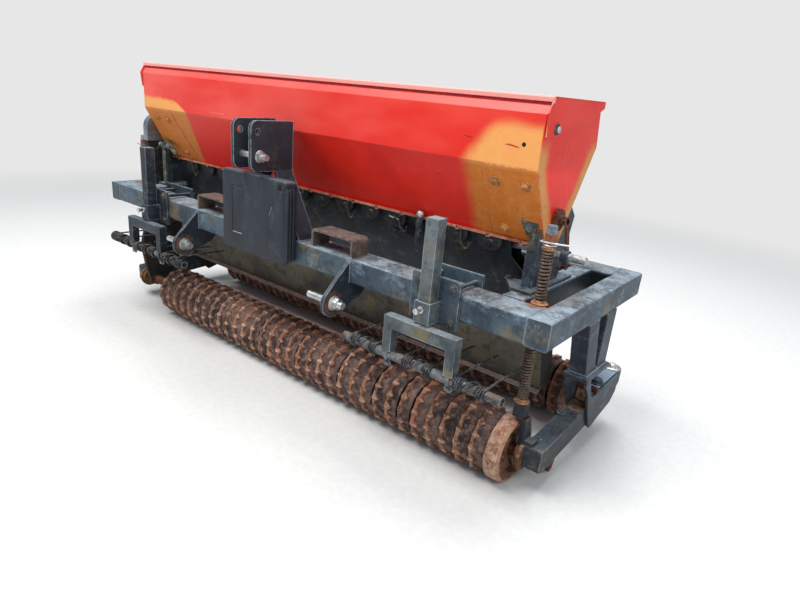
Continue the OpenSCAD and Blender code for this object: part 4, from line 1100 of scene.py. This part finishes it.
strips.piece("bracket_strips", "frame", green_steel, bevel=0.0006)
bracket_bolts.piece("bracket_bolts", "frame", dull_zinc)
crank.piece("shaft_cranks", "frame", deep_rust)
collars, clips = Shape(), Shape()
collar = [(0, 0.0112), (0, 0.0165), (0.0015, 0.0178), (0.019, 0.0178), (0.0205, 0.0165), (0.0205, 0.0112)]
collars.turned(at(0.9500, shaft_back, 0.102), (1, 0, 0), collar, 24)
collars.bolt(at(0.9600, shaft_back, 0.1195), (0, 0, 1), 0.005, False)
collars.piece("shaft_collar", "frame", paint_leg)
pin = ((0.9520, 0.0975), (0.970, 0.0968), (0.990, 0.1010), (1.0225, 0.1105))
tail = ((0.9520, 0.0975), (0.9515, 0.1135), (0.9560, 0.1300))
for side in (-1, 1):
    for wire in (pin, tail):
        clips.tube([at(side * x, back, 0.1668) for x, back in wire], 0.0024, 8)
    clips.washer(at(side * rod_x, rod_back, 0.1575), (0, 0, 1), 0.0178, 0.003)
clips.piece("rod_clips", "frame", zinc)


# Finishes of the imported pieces
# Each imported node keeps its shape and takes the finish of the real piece.
paint_sheet = frame_paint("paint_sheet", (72, 67, 58), (104, 96, 80), 0.3, 0.3, 0.6, band=True)
dress = [
    (paint_beam, "beam_front beam_rear side_beam_left side_beam_right inner_rails"),
    (paint_lug, "lower_lugs"),
    (paint_leg, "hopper_mounts"),
    (paint_clamp, "tine_clamp_right"),
    (paint_arm, "arm_front_left arm_front_right"),
    (paint_mast, "mast"),
    (paint_dark, "seed_shield"),
    (paint_sheet, "ground_sheets"),
    (paint_tine, "tine_post_right"),
    (paint_left, "tine_post_left tine_clamp_left"),
    (pipe_steel, "tine_pipe_left tine_pipe_right"),
    (paint_hopper, "hopper_shell hopper_patches hopper_lid"),
    (paint_hopper_end, "hopper_ends"),
    (zinc, "top_link_pin lower_pins feed_lever"),
    (deep_rust, "pivot_bolts"),
    (shaft_finish("shaft_steel"), "feed_shafts"),
    (deep_rust, "axle_front axle_rear"),
    (galvanised, "chain_cover"),
    (loop_rust, "strap_loops"),
    (case_rust, "chain_case"),
    (bearing_rust, "bearings"),
    (plastic, "document_box"),
]
for material, names in dress:
    for name in names.split():
        for slot in nodes[name].material_slots:
            slot.material = material


# Studio
# A pale floor and a white background, lit softly from above as under cloud.
floor_mesh = bpy.data.meshes.new("floor")
floor_mesh.from_pydata([(-30, -30, 0), (30, -30, 0), (30, 30, 0), (-30, 30, 0)], [], [(0, 1, 2, 3)])
floor = bpy.data.objects.new("floor", floor_mesh)
bpy.context.scene.collection.objects.link(floor)
floor_material, s = paper("floor")
x, y, z = s.place()
far = (x * x + y * y).step(6.0, 26.0)
speck = s.grain(40, 4, 0.6)
finish(floor_material, speck.step(0.3, 0.7).mix(tone(206, 206, 205), tone(212, 212, 211)), 0.92)
glow = s.node("Emission", {"Color": (0.80, 0.80, 0.80, 1), "Strength": 1.0})
lit = Shade(s.tree, s.tree.nodes["Principled BSDF"].outputs[0])
blend = s.node("MixShader", {0: far, 1: lit, 2: glow})
s.tree.links.new(blend.socket, s.tree.nodes["Material Output"].inputs["Surface"])
floor_mesh.materials.append(floor_material)

world = bpy.data.worlds.new("sky")
world.use_nodes = True
bpy.context.scene.world = world
sky = Shade(world.node_tree)
seen = sky.node("LightPath", out=0)
backdrop = world.node_tree.nodes["Background"]
shown = seen.mix((0.34, 0.37, 0.41, 1), (0.80, 0.80, 0.80, 1))
world.node_tree.links.new(shown.socket, backdrop.inputs["Color"])
backdrop.inputs["Strength"].default_value = 1.0


def lamp(name, place, target, size, power, warm):
    data = bpy.data.lights.new(name, "AREA")
    data.shape, data.size, data.size_y = "RECTANGLE", size, size * 0.7
    data.energy, data.color = power, warm
    made = bpy.data.objects.new(name, data)
    made.location = place
    made.rotation_euler = (Vector(target) - Vector(place)).to_track_quat("-Z", "Y").to_euler()
    bpy.context.scene.collection.objects.link(made)


lamp("key", (-0.6, -1.9, 4.6), (0, 0, 0.4), 2.6, 240, (1, 0.98, 0.95))
lamp("side", (4.0, -1.6, 3.2), (0.4, 0, 0.4), 2.2, 75, (0.95, 0.98, 1))
lamp("above", (0.4, 1.6, 5.0), (0, 0, 0.5), 3.0, 190, (1, 1, 1))

bpy.context.scene.view_settings.view_transform = "Standard"
